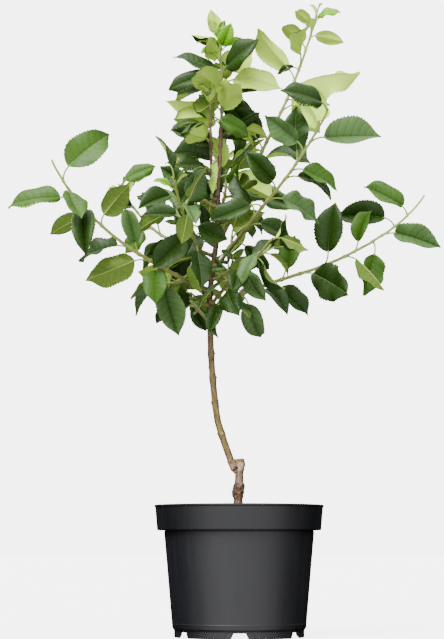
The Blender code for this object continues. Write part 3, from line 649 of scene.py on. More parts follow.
def between(values, share):
    """Read a row of evenly spaced values at a share of its length."""
    if len(values) == 1:
        return values[0]
    index, part = step_at(values, share)
    return values[index] + (values[index + 1] - values[index]) * part


def on_route(route, share):
    """The point and the direction at a share of a route whose points are evenly spaced."""
    index, part = step_at(route, share)
    return route[index].lerp(route[index + 1], part), (route[index + 1] - route[index]).normalized()


def tangent_at(route, index):
    """The direction of a route at one of its points."""
    return (route[min(index + 1, len(route) - 1)] - route[max(index - 1, 0)]).normalized()


def smooth_route(points, pieces):
    """A Catmull-Rom curve through the points, with the same number of pieces in every gap."""
    ends = [points[0] * 2 - points[1]] + list(points) + [points[-1] * 2 - points[-2]]
    route = []
    for index in range(1, len(ends) - 2):
        before, here, after, beyond = ends[index - 1:index + 3]
        for piece in range(pieces):
            t = piece / pieces
            route.append(0.5 * (2 * here + (after - before) * t
                                + (2 * before - 5 * here + 4 * after - beyond) * t ** 2
                                + (3 * here - before - 3 * after + beyond) * t ** 3))
    route.append(points[-1].copy())
    return route


STEM_LINE = smooth_route([Vector((x, 0.0, z)) for x, z in STEM], STEM_PIECES)


def direction(heading, rise):
    """A unit vector from a heading round +Z and a rise above the level, in degrees."""
    turn, lift = math.radians(heading), math.radians(rise)
    return Vector((math.cos(turn) * math.cos(lift), math.sin(turn) * math.cos(lift), math.sin(lift)))


def spoke(tangent, number):
    """The way out from a stem at one of its nodes, each a turn of the same size after the last."""
    turn = Matrix.Rotation(math.radians(PHYLLOTAXIS * number), 3, tangent)
    return (turn @ tangent.orthogonal()).normalized()


def march(start, shoot):
    """The centre line of a limb: short steps whose heading and rise change along it."""
    count = max(LEAST_STEPS, round(shoot["length"] / MARCH))
    route = [start.copy()]
    for step in range(count):
        share = (step + 0.5) / count
        along = direction(between(shoot["heading"], share), between(shoot["rise"], share))
        route.append(route[-1] + along * (shoot["length"] / count))
    return route


def stem_radius(height):
    """The grafted stem's taper, with a swelling at each ring of old bud scars."""
    low, high = STEM[0][1], STEM[-1][1]
    share = (height - low) / (high - low)
    radius = STEM_FOOT_RADIUS + (STEM_FORK_RADIUS - STEM_FOOT_RADIUS) * share
    swell = sum(math.exp(-((height - ring) / RING_SPREAD) ** 2) for ring in RING_HEIGHTS)
    return radius * (1 + RING_SWELL * swell)


def stem_centre(height):
    """The stem's centre at a height."""
    for lower, upper in zip(STEM_LINE, STEM_LINE[1:]):
        if lower.z <= height <= upper.z:
            return lower.lerp(upper, (height - lower.z) / (upper.z - lower.z))
    return STEM_LINE[-1].copy()


def limb_start(height, heading):
    """Where a limb meets the trunk, a small gap clear of the bark, and the end of its collar."""
    outward = direction(heading, 0.0)
    start = stem_centre(height) + outward * (stem_radius(height) + CLEAR)
    return start, start + outward * COLLAR_RUN


def leaf_profile(t):
    """Half width of a blade at t of its length, as a share of the widest half width."""
    if t <= 0 or t >= 1:
        return BLADE_TIP
    return max(math.sin(math.pi * t ** BLADE_BELLY) ** BLADE_ROUND, BLADE_TIP)


def blade_point(leaf, t, side, lift=0.0):
    """A point on a blade: t from base to tip, side from -1 to 1, lift off its surface."""
    turn = leaf["bend"] * t
    along = leaf["length"] * math.sin(turn) / leaf["bend"]
    drop = leaf["length"] * (1 - math.cos(turn)) / leaf["bend"]
    up = leaf["normal"] * math.cos(turn) + leaf["axis"] * math.sin(turn)
    half = leaf["length"] * LEAF_RATIO / 2 * leaf_profile(t)
    out = leaf["across"] * math.cos(leaf["fold"]) + up * math.copysign(math.sin(leaf["fold"]), side)
    if side == 0:
        out = leaf["across"]
    spine = leaf["base"] + leaf["axis"] * along - leaf["normal"] * drop
    return spine + out * (side * half) + up * lift


def blade_net(leaf, shares, lift=0.0):
    """The left edge, the middle and the right edge of a blade at some shares of its length."""
    return [blade_point(leaf, t, side, lift) for t in shares for side in (-1, 0, 1)]


def leaf_from(stem, share, radius, clock, swing, facing, tilt, length, bend, fold):
    """A leaf that grows at a share of the stem. Its tip lies from its base along its clock angle
    and its swing, and its upper side is tilted from the sky towards the heading that it faces."""
    root, tangent = on_route(stem, share)
    turn, lean, half = math.radians(clock), math.radians(swing), math.radians(bend) / 2
    chord = Vector((math.cos(turn) * math.cos(lean), math.sin(lean), math.sin(turn) * math.cos(lean)))
    upper = direction(facing, 90 - tilt)
    if chord.cross(upper).length < END_ON:
        upper = direction(facing, 0)
    square = (upper - chord * chord.dot(upper)).normalized()
    axis = chord * math.cos(half) + square * math.sin(half)
    normal = square * math.cos(half) - chord * math.sin(half)
    petiole = (axis * PETIOLE_AHEAD + tangent * PETIOLE_ALONG + Vector((0, 0, PETIOLE_UP))).normalized()
    return dict(root=root, petiole=petiole, base=root + petiole * (radius + PETIOLE_SHARE * length),
                axis=axis, normal=normal, across=axis.cross(normal).normalized(), length=length,
                bend=math.radians(bend), fold=math.radians(fold), radius=radius,
                tangent=tangent, share=share)


def guard_tree(leaf):
    """The room that a leaf keeps free: its blade made thick, and its petiole past the bark."""
    shares = [row / LEAF_CELLS for row in range(LEAF_CELLS + 1)]
    points = blade_net(leaf, shares, -GUARD) + blade_net(leaf, shares, GUARD)
    layer = len(points) // 2
    faces = []
    for row in range(0, 3 * LEAF_CELLS, 3):
        for low in (row, row + 1, layer + row, layer + row + 1):
            faces.append([low, low + 1, low + 4, low + 3])
        for low in (row, row + 2):
            faces.append([low, low + 3, low + 3 + layer, low + layer])
    first = len(points)
    out = leaf["root"] + leaf["petiole"] * (leaf["radius"] + PETIOLE_CLEAR)
    for end in (out, leaf["base"]):
        points += [end + leaf["across"] * GUARD, end - leaf["across"] * GUARD,
                   end + leaf["normal"] * GUARD, end - leaf["normal"] * GUARD]
    faces += [[first, first + 1, first + 5, first + 4], [first + 2, first + 3, first + 7, first + 6]]
    return BVHTree.FromPolygons(points, faces)


def tube_faces(first, rings, sides):
    """The sides of a tube whose rings of points follow on from a number."""
    faces = []
    for ring in range(first, first + sides * (rings - 1), sides):
        for corner in range(sides):
            after = (corner + 1) % sides
            faces.append((ring + corner, ring + after, ring + sides + after, ring + sides + corner))
    return faces


def tube_tree(route, radii):
    """A plain tube round a route, to test leaves against."""
    points = []
    for index, centre in enumerate(route):
        along = tangent_at(route, index)
        side = along.orthogonal().normalized()
        for corner in range(TUBE_SIDES):
            out = Matrix.Rotation(math.tau * corner / TUBE_SIDES, 3, along) @ side
            points.append(centre + out * (radii[index] + CLEAR))
    return BVHTree.FromPolygons(points, tube_faces(0, len(route), TUBE_SIDES))


def inside_crown(leaf):
    """Whether a leaf keeps within the crown's width, depth and height."""
    return all(abs(point.x) <= CROWN_HALF_WIDTH and abs(point.y) <= CROWN_HALF_DEPTH
               and point.z <= CROWN_TOP for point in blade_net(leaf, CROWN_TESTS))


def has_room(leaf):
    """Whether a spray leaf keeps above the lowest boughs and leaves the trunk in view in front."""
    foot, fork = STEM_LINE[0].z, STEM_LINE[-1].z
    for point in blade_net(leaf, FILL_TESTS):
        middle = between([place.x for place in STEM_LINE], (point.z - foot) / (fork - foot))
        if point.z < FILL_LOWEST or (point.y < 0 and abs(point.x - middle) < FILL_ASIDE):
            return False
    return inside_crown(leaf)


def strayed(rng, aim, reach, attempt):
    """An aim with a random turn that may be wider with each attempt, or as it is without a reach."""
    return aim + rng.uniform(-1, 1) * (reach[0] + reach[1] * attempt) if reach else aim


def place_leaf(rng, taken, fits, stem, share, radius, aims, stray, tilts, length=None, loose=False):
    """A list of one leaf near its clock angle, swing and facing, at the first of some tries that
    has room, or an empty list. A loose leaf may touch others, and one without a length gets that
    of a spray's leaf."""
    for attempt in range(TRIES):
        clock, swing, facing = (strayed(rng, *pair, attempt) for pair in zip(aims, stray))
        tilt = rng.uniform(*tilts)
        size = length or rng.uniform(*FILL_LEAF)
        leaf = leaf_from(stem, share, radius, clock, swing, facing, tilt, size,
                         rng.uniform(*BEND), rng.uniform(*FOLD))
        tree = guard_tree(leaf)
        if fits(leaf) and (loose or not any(tree.overlap(other) for other in taken)):
            taken.append(tree)
            return [leaf]
    return []


def grow_leaves(shoot, taken):
    """The seeded rule: leaves at even nodes along a stem, two turns for five, the last at its tip."""
    leaves = []
    count = len(shoot["clocks"])
    first = shoot["bare"] or SPUR_FIRST
    rng = random.Random(shoot["seed"])
    for number, clock in enumerate(shoot["clocks"]):
        if clock is None:
            continue
        place = (number + NODE_OFFSET + rng.uniform(-NODE_JITTER, NODE_JITTER)) / count
        share = 1.0 if number == count - 1 else first + (1 - first) * place
        main = number in shoot["main"]
        swing = SWING * math.sin(math.radians(shoot["phase"] + PHYLLOTAXIS * number))
        growth = 1.0 - shoot["young"] * max(0.0, (share - YOUNG_FROM) / (1 - YOUNG_FROM))
        size = rng.uniform(*SIZES)
        length = shoot["leaf"] * growth * (MAIN_SIZE if main else size)
        height = on_route(shoot["route"], share)[0].z
        upright = between(UNDERSIDES, (height - CROWN_FOOT) / (CROWN_TOP - CROWN_FOOT))
        facing = shoot["facing"] + (180 if rng.random() < upright else 0)
        leaves += place_leaf(rng, taken, inside_crown, shoot["route"], share,
                             between((shoot["radius"], TWIG_TIP_RADIUS), share),
                             (clock, swing * (MAIN_SWING if main else 1), facing), STRAY,
                             MAIN_TILT if main else TILT, length)
    return leaves


def shoot_plan():
    """Every shoot with its route."""
    fork = STEM_LINE[-1]
    plan = {}
    for name, shoot in SHOOTS.items():
        if name == "leader":
            route = march(fork + Vector((0, 0, CLEAR)), shoot)
        else:
            start, collar = limb_start(shoot["height"] or fork.z - SECOND_DROP,
                                       shoot["side"] or shoot["heading"][0])
            route = [start] + march(collar, shoot)
        plan[name] = dict(shoot, route=route)
    return plan


def plan_leaves(plan):
    """The leaves of every shoot, grown one shoot after another, and the room that all take up."""
    taken = [tube_tree(STEM_LINE, [stem_radius(place.z) for place in STEM_LINE])]
    taken += [tube_tree(shoot["route"], [shoot["radius"]] * len(shoot["route"])) for shoot in plan.values()]
    return {name: grow_leaves(shoot, taken) for name, shoot in plan.items()}, taken


def top_leaves(plan, grown, taken):
    """Add the leaves listed for the crown's top to those of their shoots, wherever one has room."""
    rng = random.Random(TOP_SEED)
    for name, share, clock, swing, length, facing, tones in TOP_LEAVES:
        shoot = plan[name]
        thick = between((shoot["radius"], TWIG_TIP_RADIUS), share)
        for leaf in place_leaf(rng, taken, inside_crown, shoot["route"], share, thick,
                               (clock, swing, facing), TOP_STRAY, MAIN_TILT, length, length <= TUFT_LEAF):
            leaf["tones"] = TONES[tones]
            grown[name].append(leaf)


def spur_places(plan):
    """Where more short spurs grow: the shoot that each belongs to, its place and the way on there."""
    places = []
    for name, shoot in plan.items():
        inner = name in LEADERS or name.startswith(("front", "back"))
        reach = FILL_REACH_INNER if inner else FILL_REACH
        count = int(MARCH * len(shoot["route"]) * reach / FILL_GAP) if shoot["bare"] else 0
        for number in range(count):
            places.append((name, *on_route(shoot["route"], reach * (number + FILL_FIRST) / count)))
    height = FILL_FOOT
    while height < STEM_LINE[-1].z:
        places.append(("leader", stem_centre(height), Vector((0, 0, 1))))
        height += FILL_GAP
    return places


def fine_spurs(plan, taken):
    """More short spurs along the limbs and the trunk, each with a few leaves wherever one has room."""
    rng = random.Random(FILL_SEED)
    spurs = {name: [] for name in plan}
    for number, (name, point, tangent) in enumerate(spur_places(plan)):
        out = spoke(tangent, number)
        away = math.degrees(math.atan2(out.y, out.x))
        way = (out + tangent * FILL_AHEAD + Vector((0, 0, FILL_UP))).normalized()
        length = rng.uniform(*FILL_LENGTH)
        route = [point + way * (length * step / FILL_STEPS) for step in range(FILL_STEPS + 1)]
        clock = math.degrees(math.atan2(out.z, out.x)) + rng.uniform(-FILL_CLOCK, FILL_CLOCK)
        lean = math.degrees(math.asin(max(-1.0, min(1.0, out.y))))
        leaves = []
        for share, spread in FILL_LEAVES:
            leaves += place_leaf(rng, taken, has_room, route, share, FILL_RADIUS,
                                 (clock + spread, lean * FILL_LEAN, away), FILL_STRAY, TILT)
        if leaves:
            spurs[name].append((dict(route=route, radius=FILL_RADIUS, young=0.0), leaves))
    return spurs


def tip_leaves(route, count, rng):
    """The youngest leaves round a shoot's tip: the inner ones folded and upright, the outer open."""
    leaves = []
    for number in range(count):
        age = number / count
        share = 1.0 - TIP_REACH * age
        root, tangent = on_route(route, share)
        out = spoke(tangent, number)
        axis = (tangent * between(TIP_ALONG, age) + out * between(TIP_OUT, age)).normalized()
        normal = (tangent - axis * axis.dot(tangent)).normalized()
        length = between(TIP_LEAF_LENGTH, age)
        bend = math.radians(rng.uniform(*TIP_BEND))
        fold = between(TIP_FOLD, age) + rng.uniform(-TIP_FOLD_JITTER, TIP_FOLD_JITTER)
        leaves.append(dict(root=root, tangent=tangent, petiole=axis, share=share, radius=TWIG_TIP_RADIUS,
                           base=root + axis * (TIP_STALK * length), axis=axis, normal=normal,
                           across=axis.cross(normal).normalized(), length=length,
                           tones=TONES["pale" if number % 2 else "young"], bend=bend,
                           fold=math.radians(fold)))
    return leaves


# Pieces

def new_object(name, data):
    """An object with its data, in the scene."""
    thing = bpy.data.objects.new(name, data)
    bpy.context.scene.collection.objects.link(thing)
    return thing


def plain_mesh(name, points, edges, faces):
    """An object from points, edges and faces."""
    mesh = bpy.data.meshes.new(name)
    mesh.from_pydata(points, edges, faces)
    return new_object(name, mesh)


def add_mesh(name, points, faces, surfaces, slots=None, sharp=PLAIN_SHARP):
    """A smooth-shaded object from points and faces, with one material slot for each surface."""
    thing = plain_mesh(name, points, [], faces)
    for surface in surfaces:
        thing.data.materials.append(surface)
    if slots is not None:
        thing.data.polygons.foreach_set("material_index", slots)
    thing.data.shade_smooth()
    thing.data.set_sharp_from_angle(angle=math.radians(sharp))
    return thing


def dress(thing, slot, *nodes):
    """Fix a piece to the plant and hide the solids that it stands for. The slot of its finish is not used.
    """
    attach(thing, "root")
    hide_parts(*nodes)


def apply_modifiers(thing):
    """Turn an object's modifiers into its own mesh."""
    ready = thing.evaluated_get(bpy.context.evaluated_depsgraph_get())
    mesh = bpy.data.meshes.new_from_object(ready)
    thing.modifiers.clear()
    thing.data = mesh
    return mesh


def sweep(route, radii, sides, points, faces):
    """Add a closed tube round a route, whose rings don't twist, to lists of points and faces."""
    side = (route[1] - route[0]).orthogonal().normalized()
    first = len(points)
    for index, centre in enumerate(route):
        along = tangent_at(route, index)
        side = (side - along * side.dot(along)).normalized()
        up = along.cross(side)
        for corner in range(sides):
            turn = math.tau * corner / sides
            points.append(centre + (side * math.cos(turn) + up * math.sin(turn)) * radii[index])
    faces += tube_faces(first, len(route), sides)
    faces.append(tuple(range(first + sides - 1, first - 1, -1)))
    faces.append(tuple(range(len(points) - sides, len(points))))


# Materials

def feed(tree, socket, value):
    """Link an input to a socket, or give it a value. A colour is opaque."""
    if isinstance(value, bpy.types.NodeSocket):
        tree.links.new(value, socket)
    else:
        socket.default_value = (*value, 1.0) if socket.type == "RGBA" else value


def node(tree, kind, *values, settings=None, **named):
    """A shader node with its settings. Its inputs are fed in their order, or by their names."""
    made = tree.nodes.new("ShaderNode" + kind)
    for key, value in (settings or {}).items():
        setattr(made, key, value)
    for socket, value in zip(made.inputs, values):
        feed(tree, socket, value)
    for key, value in named.items():
        feed(tree, made.inputs[key.replace("_", " ")], value)
    return made


def worked_out(tree, operation, *values, kind="Math"):
    """The number that a sum on some sockets and values gives."""
    return node(tree, kind, *values, settings=dict(operation=operation)).outputs["Value"]


def mixed(tree, share, low, high, blend="MIX"):
    """A blend of two colours by a share."""
    how = dict(data_type="RGBA", blend_type=blend)
    return node(tree, "Mix", settings=how, Factor=share, A=low, B=high).outputs["Result"]


def ramp(tree, share, low, high, start=0.0, end=1.0, way="LINEAR"):
    """A share between two limits, spread from a start to an end and held outside them."""
    return node(tree, "MapRange", settings=dict(interpolation_type=way), Value=share, From_Min=low,
                From_Max=high, To_Min=start, To_Max=end).outputs["Result"]


def noise_at(tree, place, scale, detail=NOISE_DETAIL):
    """Soft noise at a place."""
    return node(tree, "TexNoise", Vector=place, Scale=scale, Detail=detail,
                Roughness=NOISE_ROUGHNESS).outputs["Fac"]


def patchy(tree, place, scale, low, high, detail=NOISE_DETAIL):
    """Noise spread between two of its values, so that it is 0 at the first and 1 at the second."""
    return ramp(tree, noise_at(tree, place, scale, detail), low, high)


def bump(tree, height, strength, distance, **under):
    """A relief by a height, over another one if that is given."""
    return node(tree, "Bump", Height=height, Strength=strength, Distance=distance, **under).outputs["Normal"]


def grainy(tree, place, scale, strength, distance, detail=NOISE_DETAIL):
    """A relief of noise."""
    return bump(tree, noise_at(tree, place, scale, detail), strength, distance)


def stretched(tree, place, scale):
    """A place whose axes are scaled, so that a pattern on it is stretched."""
    return node(tree, "Mapping", Vector=place, Scale=scale).outputs["Vector"]


def shaded(colour, factor):
    """A colour made lighter or darker."""
    return tuple(min(1.0, channel * factor) for channel in colour)


def new_surface(name, finish):
    """A material with its finish, its nodes, and the object's own coordinates for its patterns."""
    surface = bpy.data.materials.new(name)
    surface.use_nodes = True
    tree = surface.node_tree
    dress_shader(surface, Roughness=finish[0], Specular_IOR_Level=finish[1])
    return surface, tree, node(tree, "TexCoord").outputs["Object"]


def dress_shader(surface, **values):
    """Feed a material's shader."""
    tree = surface.node_tree
    for key, value in values.items():
        feed(tree, tree.nodes["Principled BSDF"].inputs[key.replace("_", " ")], value)
    return surface


def blade_surface(name, colour, finish, spread, grain):
    """A blade's colour with soft patches, a fine net of veinlets and an uneven gloss."""
    surface, tree, place = new_surface(name, finish)
    patches = patchy(tree, place, *BLADE_PATCHES)
    tone = mixed(tree, patches, shaded(colour, 1 - spread), shaded(colour, 1 + spread))
    edges = dict(feature="DISTANCE_TO_EDGE")
    net = node(tree, "TexVoronoi", settings=edges, Vector=place, Scale=VEINLETS).outputs["Distance"]
    lines = ramp(tree, net, 0.0, VEINLET_WIDTH)
    tone = mixed(tree, lines, shaded(colour, 1 + NET_TINT * spread), tone)
    rougher = [finish[0] + change for change in BLADE_ROUGHER]
    scale, low, high = BLADE_GLOSS
    gloss = ramp(tree, noise_at(tree, place, scale), low, high, *rougher)
    scale, height = BLADE_CRINKLES
    crinkles = grainy(tree, place, scale, grain, height)
    relief = bump(tree, lines, grain, VEINLET_RELIEF, Normal=crinkles)
    return dress_shader(surface, Base_Color=tone, Roughness=gloss, Normal=relief)


def leaf_surfaces():
    """The blades' materials, in the order of their slots."""
    made = []
    for name, colour in LEAF_COLOURS.items():
        if name == "rib":
            made.append(stalk_surface("leaf_rib", colour, RIB_TINT))
        else:
            finish = UPPER_FINISH if name.startswith("upper") else UNDER_FINISH
            made.append(blade_surface("leaf_" + name, colour, **finish))
    return made


def stalk_surface(name, colour, tint):
    """Petioles, ribs and buds: a soft waxy colour with slight streaks of a second tint."""
    surface, tree, place = new_surface(name, STALK_FINISH)
    tone = mixed(tree, patchy(tree, place, *STALK_STREAKS), colour, shaded(colour, tint))
    return dress_shader(surface, Base_Color=tone, Normal=grainy(tree, place, *STALK_GRAIN))


def coloured_stops(tree, share, stops, low, high):
    """A ramp through colours that are placed between two limits."""
    colours = node(tree, "ValToRGB", Fac=ramp(tree, share, low, high))
    elements = colours.color_ramp.elements
    while len(elements) < len(stops):
        elements.new(0.5)
    for element, (position, colour) in zip(elements, stops):
        element.position = (position - low) / (high - low)
        element.color = (*colour, 1.0)
    return colours.outputs["Color"]


def tone_at(stops, reach):
    """The colour at a distance, between those of a row of stops."""
    for (low, first), (high, second) in zip(stops, stops[1:]):
        if reach <= high:
            share = (reach - low) / (high - low)
            return tuple(before + (after - before) * share for before, after in zip(first, second))
    return stops[-1][1]


def twig_surfaces(name, stops):
    """Young bark in even steps, from the wood's colour at the trunk to green at the tips."""
    made = []
    for step in range(TONE_STEPS):
        colour = tone_at(stops, stops[-1][0] * step / (TONE_STEPS - 1))
        surface, tree, place = new_surface("%s_%d" % (name, step), TWIG_FINISH)
        tone = mixed(tree, patchy(tree, place, *TWIG_FLECKS), colour, shaded(colour, FLECK_TINT))
        made.append(dress_shader(surface, Base_Color=tone, Normal=grainy(tree, place, *TWIG_GRAIN)))
    return made


def twig_tone(place, leader):
    """The step of the bark's colour at a place, by its distance out from the trunk."""
    centre, stretch, stops = LEADER_REACH if leader else SIDE_REACH
    reach = ((Vector(place) - Vector(centre)) * Vector(stretch)).length
    return min(TONE_STEPS - 1, round(reach / stops[-1][0] * (TONE_STEPS - 1)))


def spotted(tree, place, tone, spots, colour):
    """A tone with ragged spots of another colour on the trunk's front."""
    flat = stretched(tree, place, (1.0, SPOT_DEPTH, 1.0))
    ragged = noise_at(tree, place, SPOT_RAGGED)
    for x, height, size in spots:
        middle = (x, SPOT_FRONT * SPOT_DEPTH, height)
        gap = worked_out(tree, "DISTANCE", flat, middle, kind="VectorMath")
        reach = worked_out(tree, "MULTIPLY_ADD", ragged, size, gap)
        tone = mixed(tree, ramp(tree, reach, *(size * edge for edge in SPOT_EDGE)), tone, colour)
    return tone


def trunk_surface():
    """Bark that changes up the trunk: red-brown burr, grey-tan shaft, olive stem, red-brown top, with
    painted shade at its edges and a painted highlight on the graft head.
    """
    surface, tree, place = new_surface("trunk_bark", BARK_FINISH)
    height = node(tree, "SeparateXYZ", place).outputs["Z"]
    uneven = worked_out(tree, "MULTIPLY_ADD", noise_at(tree, place, BAND_NOISE), BAND_UNEVEN, height)
    tone = coloured_stops(tree, uneven, TRUNK_TONES, *TRUNK_SPAN)
    upright = stretched(tree, place, BARK_STRETCH)
    dark = mixed(tree, patchy(tree, upright, *BARK_STREAKS), tone, BARK_SHADOW)
    tone = mixed(tree, BARK_STREAKING, tone, dark)
    tone = mixed(tree, patchy(tree, place, *BARK_FLECKS), tone, BARK_FLECK)
    # The pale spots on the graft head are a painted highlight; the wounds and pale scars are marks of the
    # bark itself
    for spots, colour in ((HEAD_HIGHLIGHT_SPOTS, PAINTED_HEAD_HIGHLIGHT), (WOUNDS, SCAR_BROWN), (PALE_SCARS, SCAR_PALE)):
        tone = spotted(tree, place, tone, spots, colour)
    # Painted shade: the colour is darkened where the bark turns away from the camera, towards the trunk's
    # edges
    edge = ramp(tree, node(tree, "LayerWeight", Blend=0.5).outputs["Facing"], *EDGE_SHADE_FROM)
    tone = mixed(tree, edge, tone, (BARK_EDGE_SHADE, BARK_EDGE_SHADE, BARK_EDGE_SHADE), "MULTIPLY")
    return dress_shader(surface, Base_Color=tone, Normal=grainy(tree, upright, *BARK_GRAIN))


def plastic_surface():
    """Matt black moulded plastic with a fine grain, faint flow streaks and a little dust."""
    surface, tree, place = new_surface("black_plastic", PLASTIC_FINISH)
    streaks = patchy(tree, stretched(tree, place, FLOW_STRETCH), *FLOW_STREAKS)
    tone = mixed(tree, patchy(tree, place, *DUST), mixed(tree, streaks, *PLASTIC_TONES), PLASTIC_DUST)
    return dress_shader(surface, Base_Color=tone, Normal=grainy(tree, place, *PLASTIC_GRAIN),
                        Roughness=ramp(tree, streaks, 0.0, 1.0, *PLASTIC_ROUGHNESS))


def soil_surface():
    """Dark peat with lighter fibres and crumbs."""
    surface, tree, place = new_surface("potting_soil", PEAT_FINISH)
    tone = mixed(tree, patchy(tree, place, *PEAT_PATCHES), *PEAT_TONES)
    tone = mixed(tree, patchy(tree, place, *PEAT_FIBRES), tone, PEAT_FIBRE)
    return dress_shader(surface, Base_Color=tone, Normal=grainy(tree, place, *PEAT_GRAIN))


def wood_surface():
    """The weathered end of the stub: grey-brown wood with rings round the pith."""
    surface, tree, place = new_surface("cut_wood", WOOD_FINISH)
    rings = node(tree, "TexWave", settings=dict(wave_type="RINGS", rings_direction="Z"), Vector=place,
                 Scale=WOOD_RINGS, Distortion=WOOD_WARP).outputs["Fac"]
    return dress_shader(surface, Base_Color=mixed(tree, rings, *WOOD_TONES),
                        Normal=bump(tree, rings, *WOOD_GRAIN))


def floor_surface():
    """A white floor that the camera sees about as bright as the backdrop."""
    surface, tree, place = new_surface("pale_floor", FLOOR_FINISH)
    dress_shader(surface, Base_Color=mixed(tree, patchy(tree, place, *FLOOR_PATCHES), *FLOOR_TONES))
    seen = node(tree, "LightPath").outputs["Is Camera Ray"]
    glow = node(tree, "Emission", Strength=worked_out(tree, "MULTIPLY", seen, FLOOR_GLOW))
    both = node(tree, "AddShader", tree.nodes["Principled BSDF"].outputs[0], glow.outputs[0])
    feed(tree, tree.nodes["Material Output"].inputs["Surface"], both.outputs[0])
    return surface


# Leaves

def vein_rows():
    """Shares of a blade's length for its rows, and the gaps between rows that are side veins."""
    rows = list(BASE_ROWS)
    veins = set()
    for vein in range(VEINS):
        for number, offset in enumerate(VEIN_ROWS):
            row = (vein + FIRST_VEIN + offset) / VEINS
            if row < LAST_ROW:
                if number == 1:
                    veins.add(len(rows) - 1)
                rows.append(row)
    rows.append(1.0)
    return np.array(rows), veins


ROWS, VEIN_GAPS = vein_rows()
COLUMNS = np.array([-side for side in reversed(HALF_COLUMNS)] + [0.0] + list(HALF_COLUMNS))


def blade_faces():
    """Faces of one blade, its upper side first, then its lower side and its rim, and how many the
    upper side has."""
    rows, columns = len(ROWS), len(COLUMNS)
    under = rows * columns
    upper, lower, rim = [], [], []
    for row in range(rows - 1):
        for column in range(columns - 1):
            here = row * columns + column
            quad = (here, here + 1, here + columns + 1, here + columns)
            upper.append(quad)
            lower.append(tuple(under + corner for corner in reversed(quad)))
    for row in range(rows - 1):
        low, high = row * columns, (row + 1) * columns
        rim.append((low, high, under + high, under + low))
        low, high = low + columns - 1, high + columns - 1
        rim.append((high, low, under + low, under + high))
    top = (rows - 1) * columns
    for column in range(columns - 1):
        rim.append((column + 1, column, under + column, under + column + 1))
        rim.append((top + column, top + column + 1, under + top + column + 1, under + top + column))
    return upper + lower + rim, len(upper)


BLADE_FACES, BLADE_SIDE = blade_faces()
BLADE_POINTS = 2 * len(ROWS) * len(COLUMNS)


def blade_slots(upper, lower):
    """The material slot of each face of a blade, given those of its upper and lower side."""
    slots = []
    upper_vein = "rib" if upper == "upper_young" else "upper_vein"
    # Veins on a darker olive underside take its painted shade
    lower_vein = "under_vein" if lower == "under_pale" else "under_shaded_olive_vein"
    for flat, vein, rib in ((upper, upper_vein, "rib"), (lower, lower_vein, "under_vein")):
        for index in range(BLADE_SIDE):
            row, column = divmod(index, len(COLUMNS) - 1)
            middle = abs(COLUMNS[column] + COLUMNS[column + 1]) / 2
            beside = row in VEIN_GAPS and middle < HALF_COLUMNS[-2]
            slots.append(LEAF_SLOTS.index(rib if middle < RIB_COLUMN else vein if beside else flat))
    return slots + [LEAF_SLOTS.index(upper)] * (len(BLADE_FACES) - len(slots))


def blade_points(leaf, rng):
    """Points of a fine blade: bent, folded and toothed, with raised cushions between its veins."""
    r, s = ROWS[:, None], COLUMNS[None, :]
    reach = np.abs(s)
    margin = reach ** MARGIN_SHARP
    tooth = (np.arange(len(ROWS)) % 2)[:, None] * margin * (r > TOOTHED[0]) * (r < TOOTHED[1])
    forward = VEIN_SWEEP * (VEIN_BOW[0] * reach + VEIN_BOW[1] * reach ** 2) * 4 * r * (1 - r)
    t = np.clip(r + forward + TOOTH_LEAN * tooth, 0.0, 1.0)
    swell = np.clip(t, *OUTLINE_ENDS) ** BLADE_BELLY
    shape = np.sin(np.pi * swell) ** np.where(swell < 0.5, BASE_ROUND, BLADE_ROUND)
    shape *= 1 - TIP_NARROW * np.clip((t - TIP_TAPER) / (1 - TIP_TAPER), 0, 1)
    length = leaf["length"]
    broad = LEAF_RATIO / 2 * length * rng.uniform(*BREADTH)
    width = broad * np.maximum(shape, TIP_WIDTH) * (1 + TOOTH * (2 * tooth - margin))
    rib = np.minimum(RIB_HALF_WIDTH * (1 - RIB_TAPER * t), RIB_MOST * width)
    lateral = np.where(reach == RIB_COLUMN, np.sign(s) * rib, s * width)
    fold, curl = leaf["fold"] + rng.uniform(*EXTRA_FOLD), rng.uniform(*CURL)
    height = width * (math.sin(fold) * (DISH[0] * reach - DISH[1] * reach ** 2) - curl * reach ** 3)
    wave, turns = rng.uniform(*MARGIN_WAVE), rng.uniform(*MARGIN_WAVES)
    phases = rng.uniform(0, math.tau), rng.uniform(0, math.tau)
    phase = np.where(s < 0, phases[0], phases[1])
    height = height + length * wave * np.sin(math.tau * turns * t + phase) * reach ** 2
    across_gap, outward, lengthwise = QUILT_POWERS
    gap = (r * VEINS - FIRST_VEIN) % 1.0
    cushion = (np.sin(np.pi * gap) ** across_gap * (1 - reach ** outward)
               * np.sin(np.pi * np.clip(t, 0, 1)) ** lengthwise)
    height = height + QUILT * cushion
    ribbed = np.exp(-(reach / RIB_SPREAD) ** 2) * (1 - RIB_FADE * t)
    upper = height - RIB_GROOVE * ribbed
    veined = UNDER_QUILT * QUILT * (1 - cushion) * (reach < UNDER_QUILT_REACH)
    lower = height - BLADE_THICKNESS - RIB_HEIGHT * ribbed - veined
    turn = leaf["bend"] * t
    along = length * np.sin(turn) / leaf["bend"]
    drop = length * (1 - np.cos(turn)) / leaf["bend"]
    base, axis, normal, across = (np.array(leaf[key]) for key in ("base", "axis", "normal", "across"))
    sickle = length * rng.uniform(-SICKLE, SICKLE) * t ** 2
    spine = base + axis * along[..., None] - normal * drop[..., None] + across * sickle[..., None]
    up = normal * np.cos(turn)[..., None] + axis * np.sin(turn)[..., None]
    lean = np.radians(rng.uniform(-TWIST, TWIST)) * t
    sides = []
    for level in (upper, lower):
        out = lateral * math.cos(fold)
        turned_out = out * np.cos(lean) - level * np.sin(lean)
        turned_up = out * np.sin(lean) + level * np.cos(lean)
        sides.append(spine + across * turned_out[..., None] + up * turned_up[..., None])
    return np.concatenate([side.reshape(-1, 3) for side in sides])


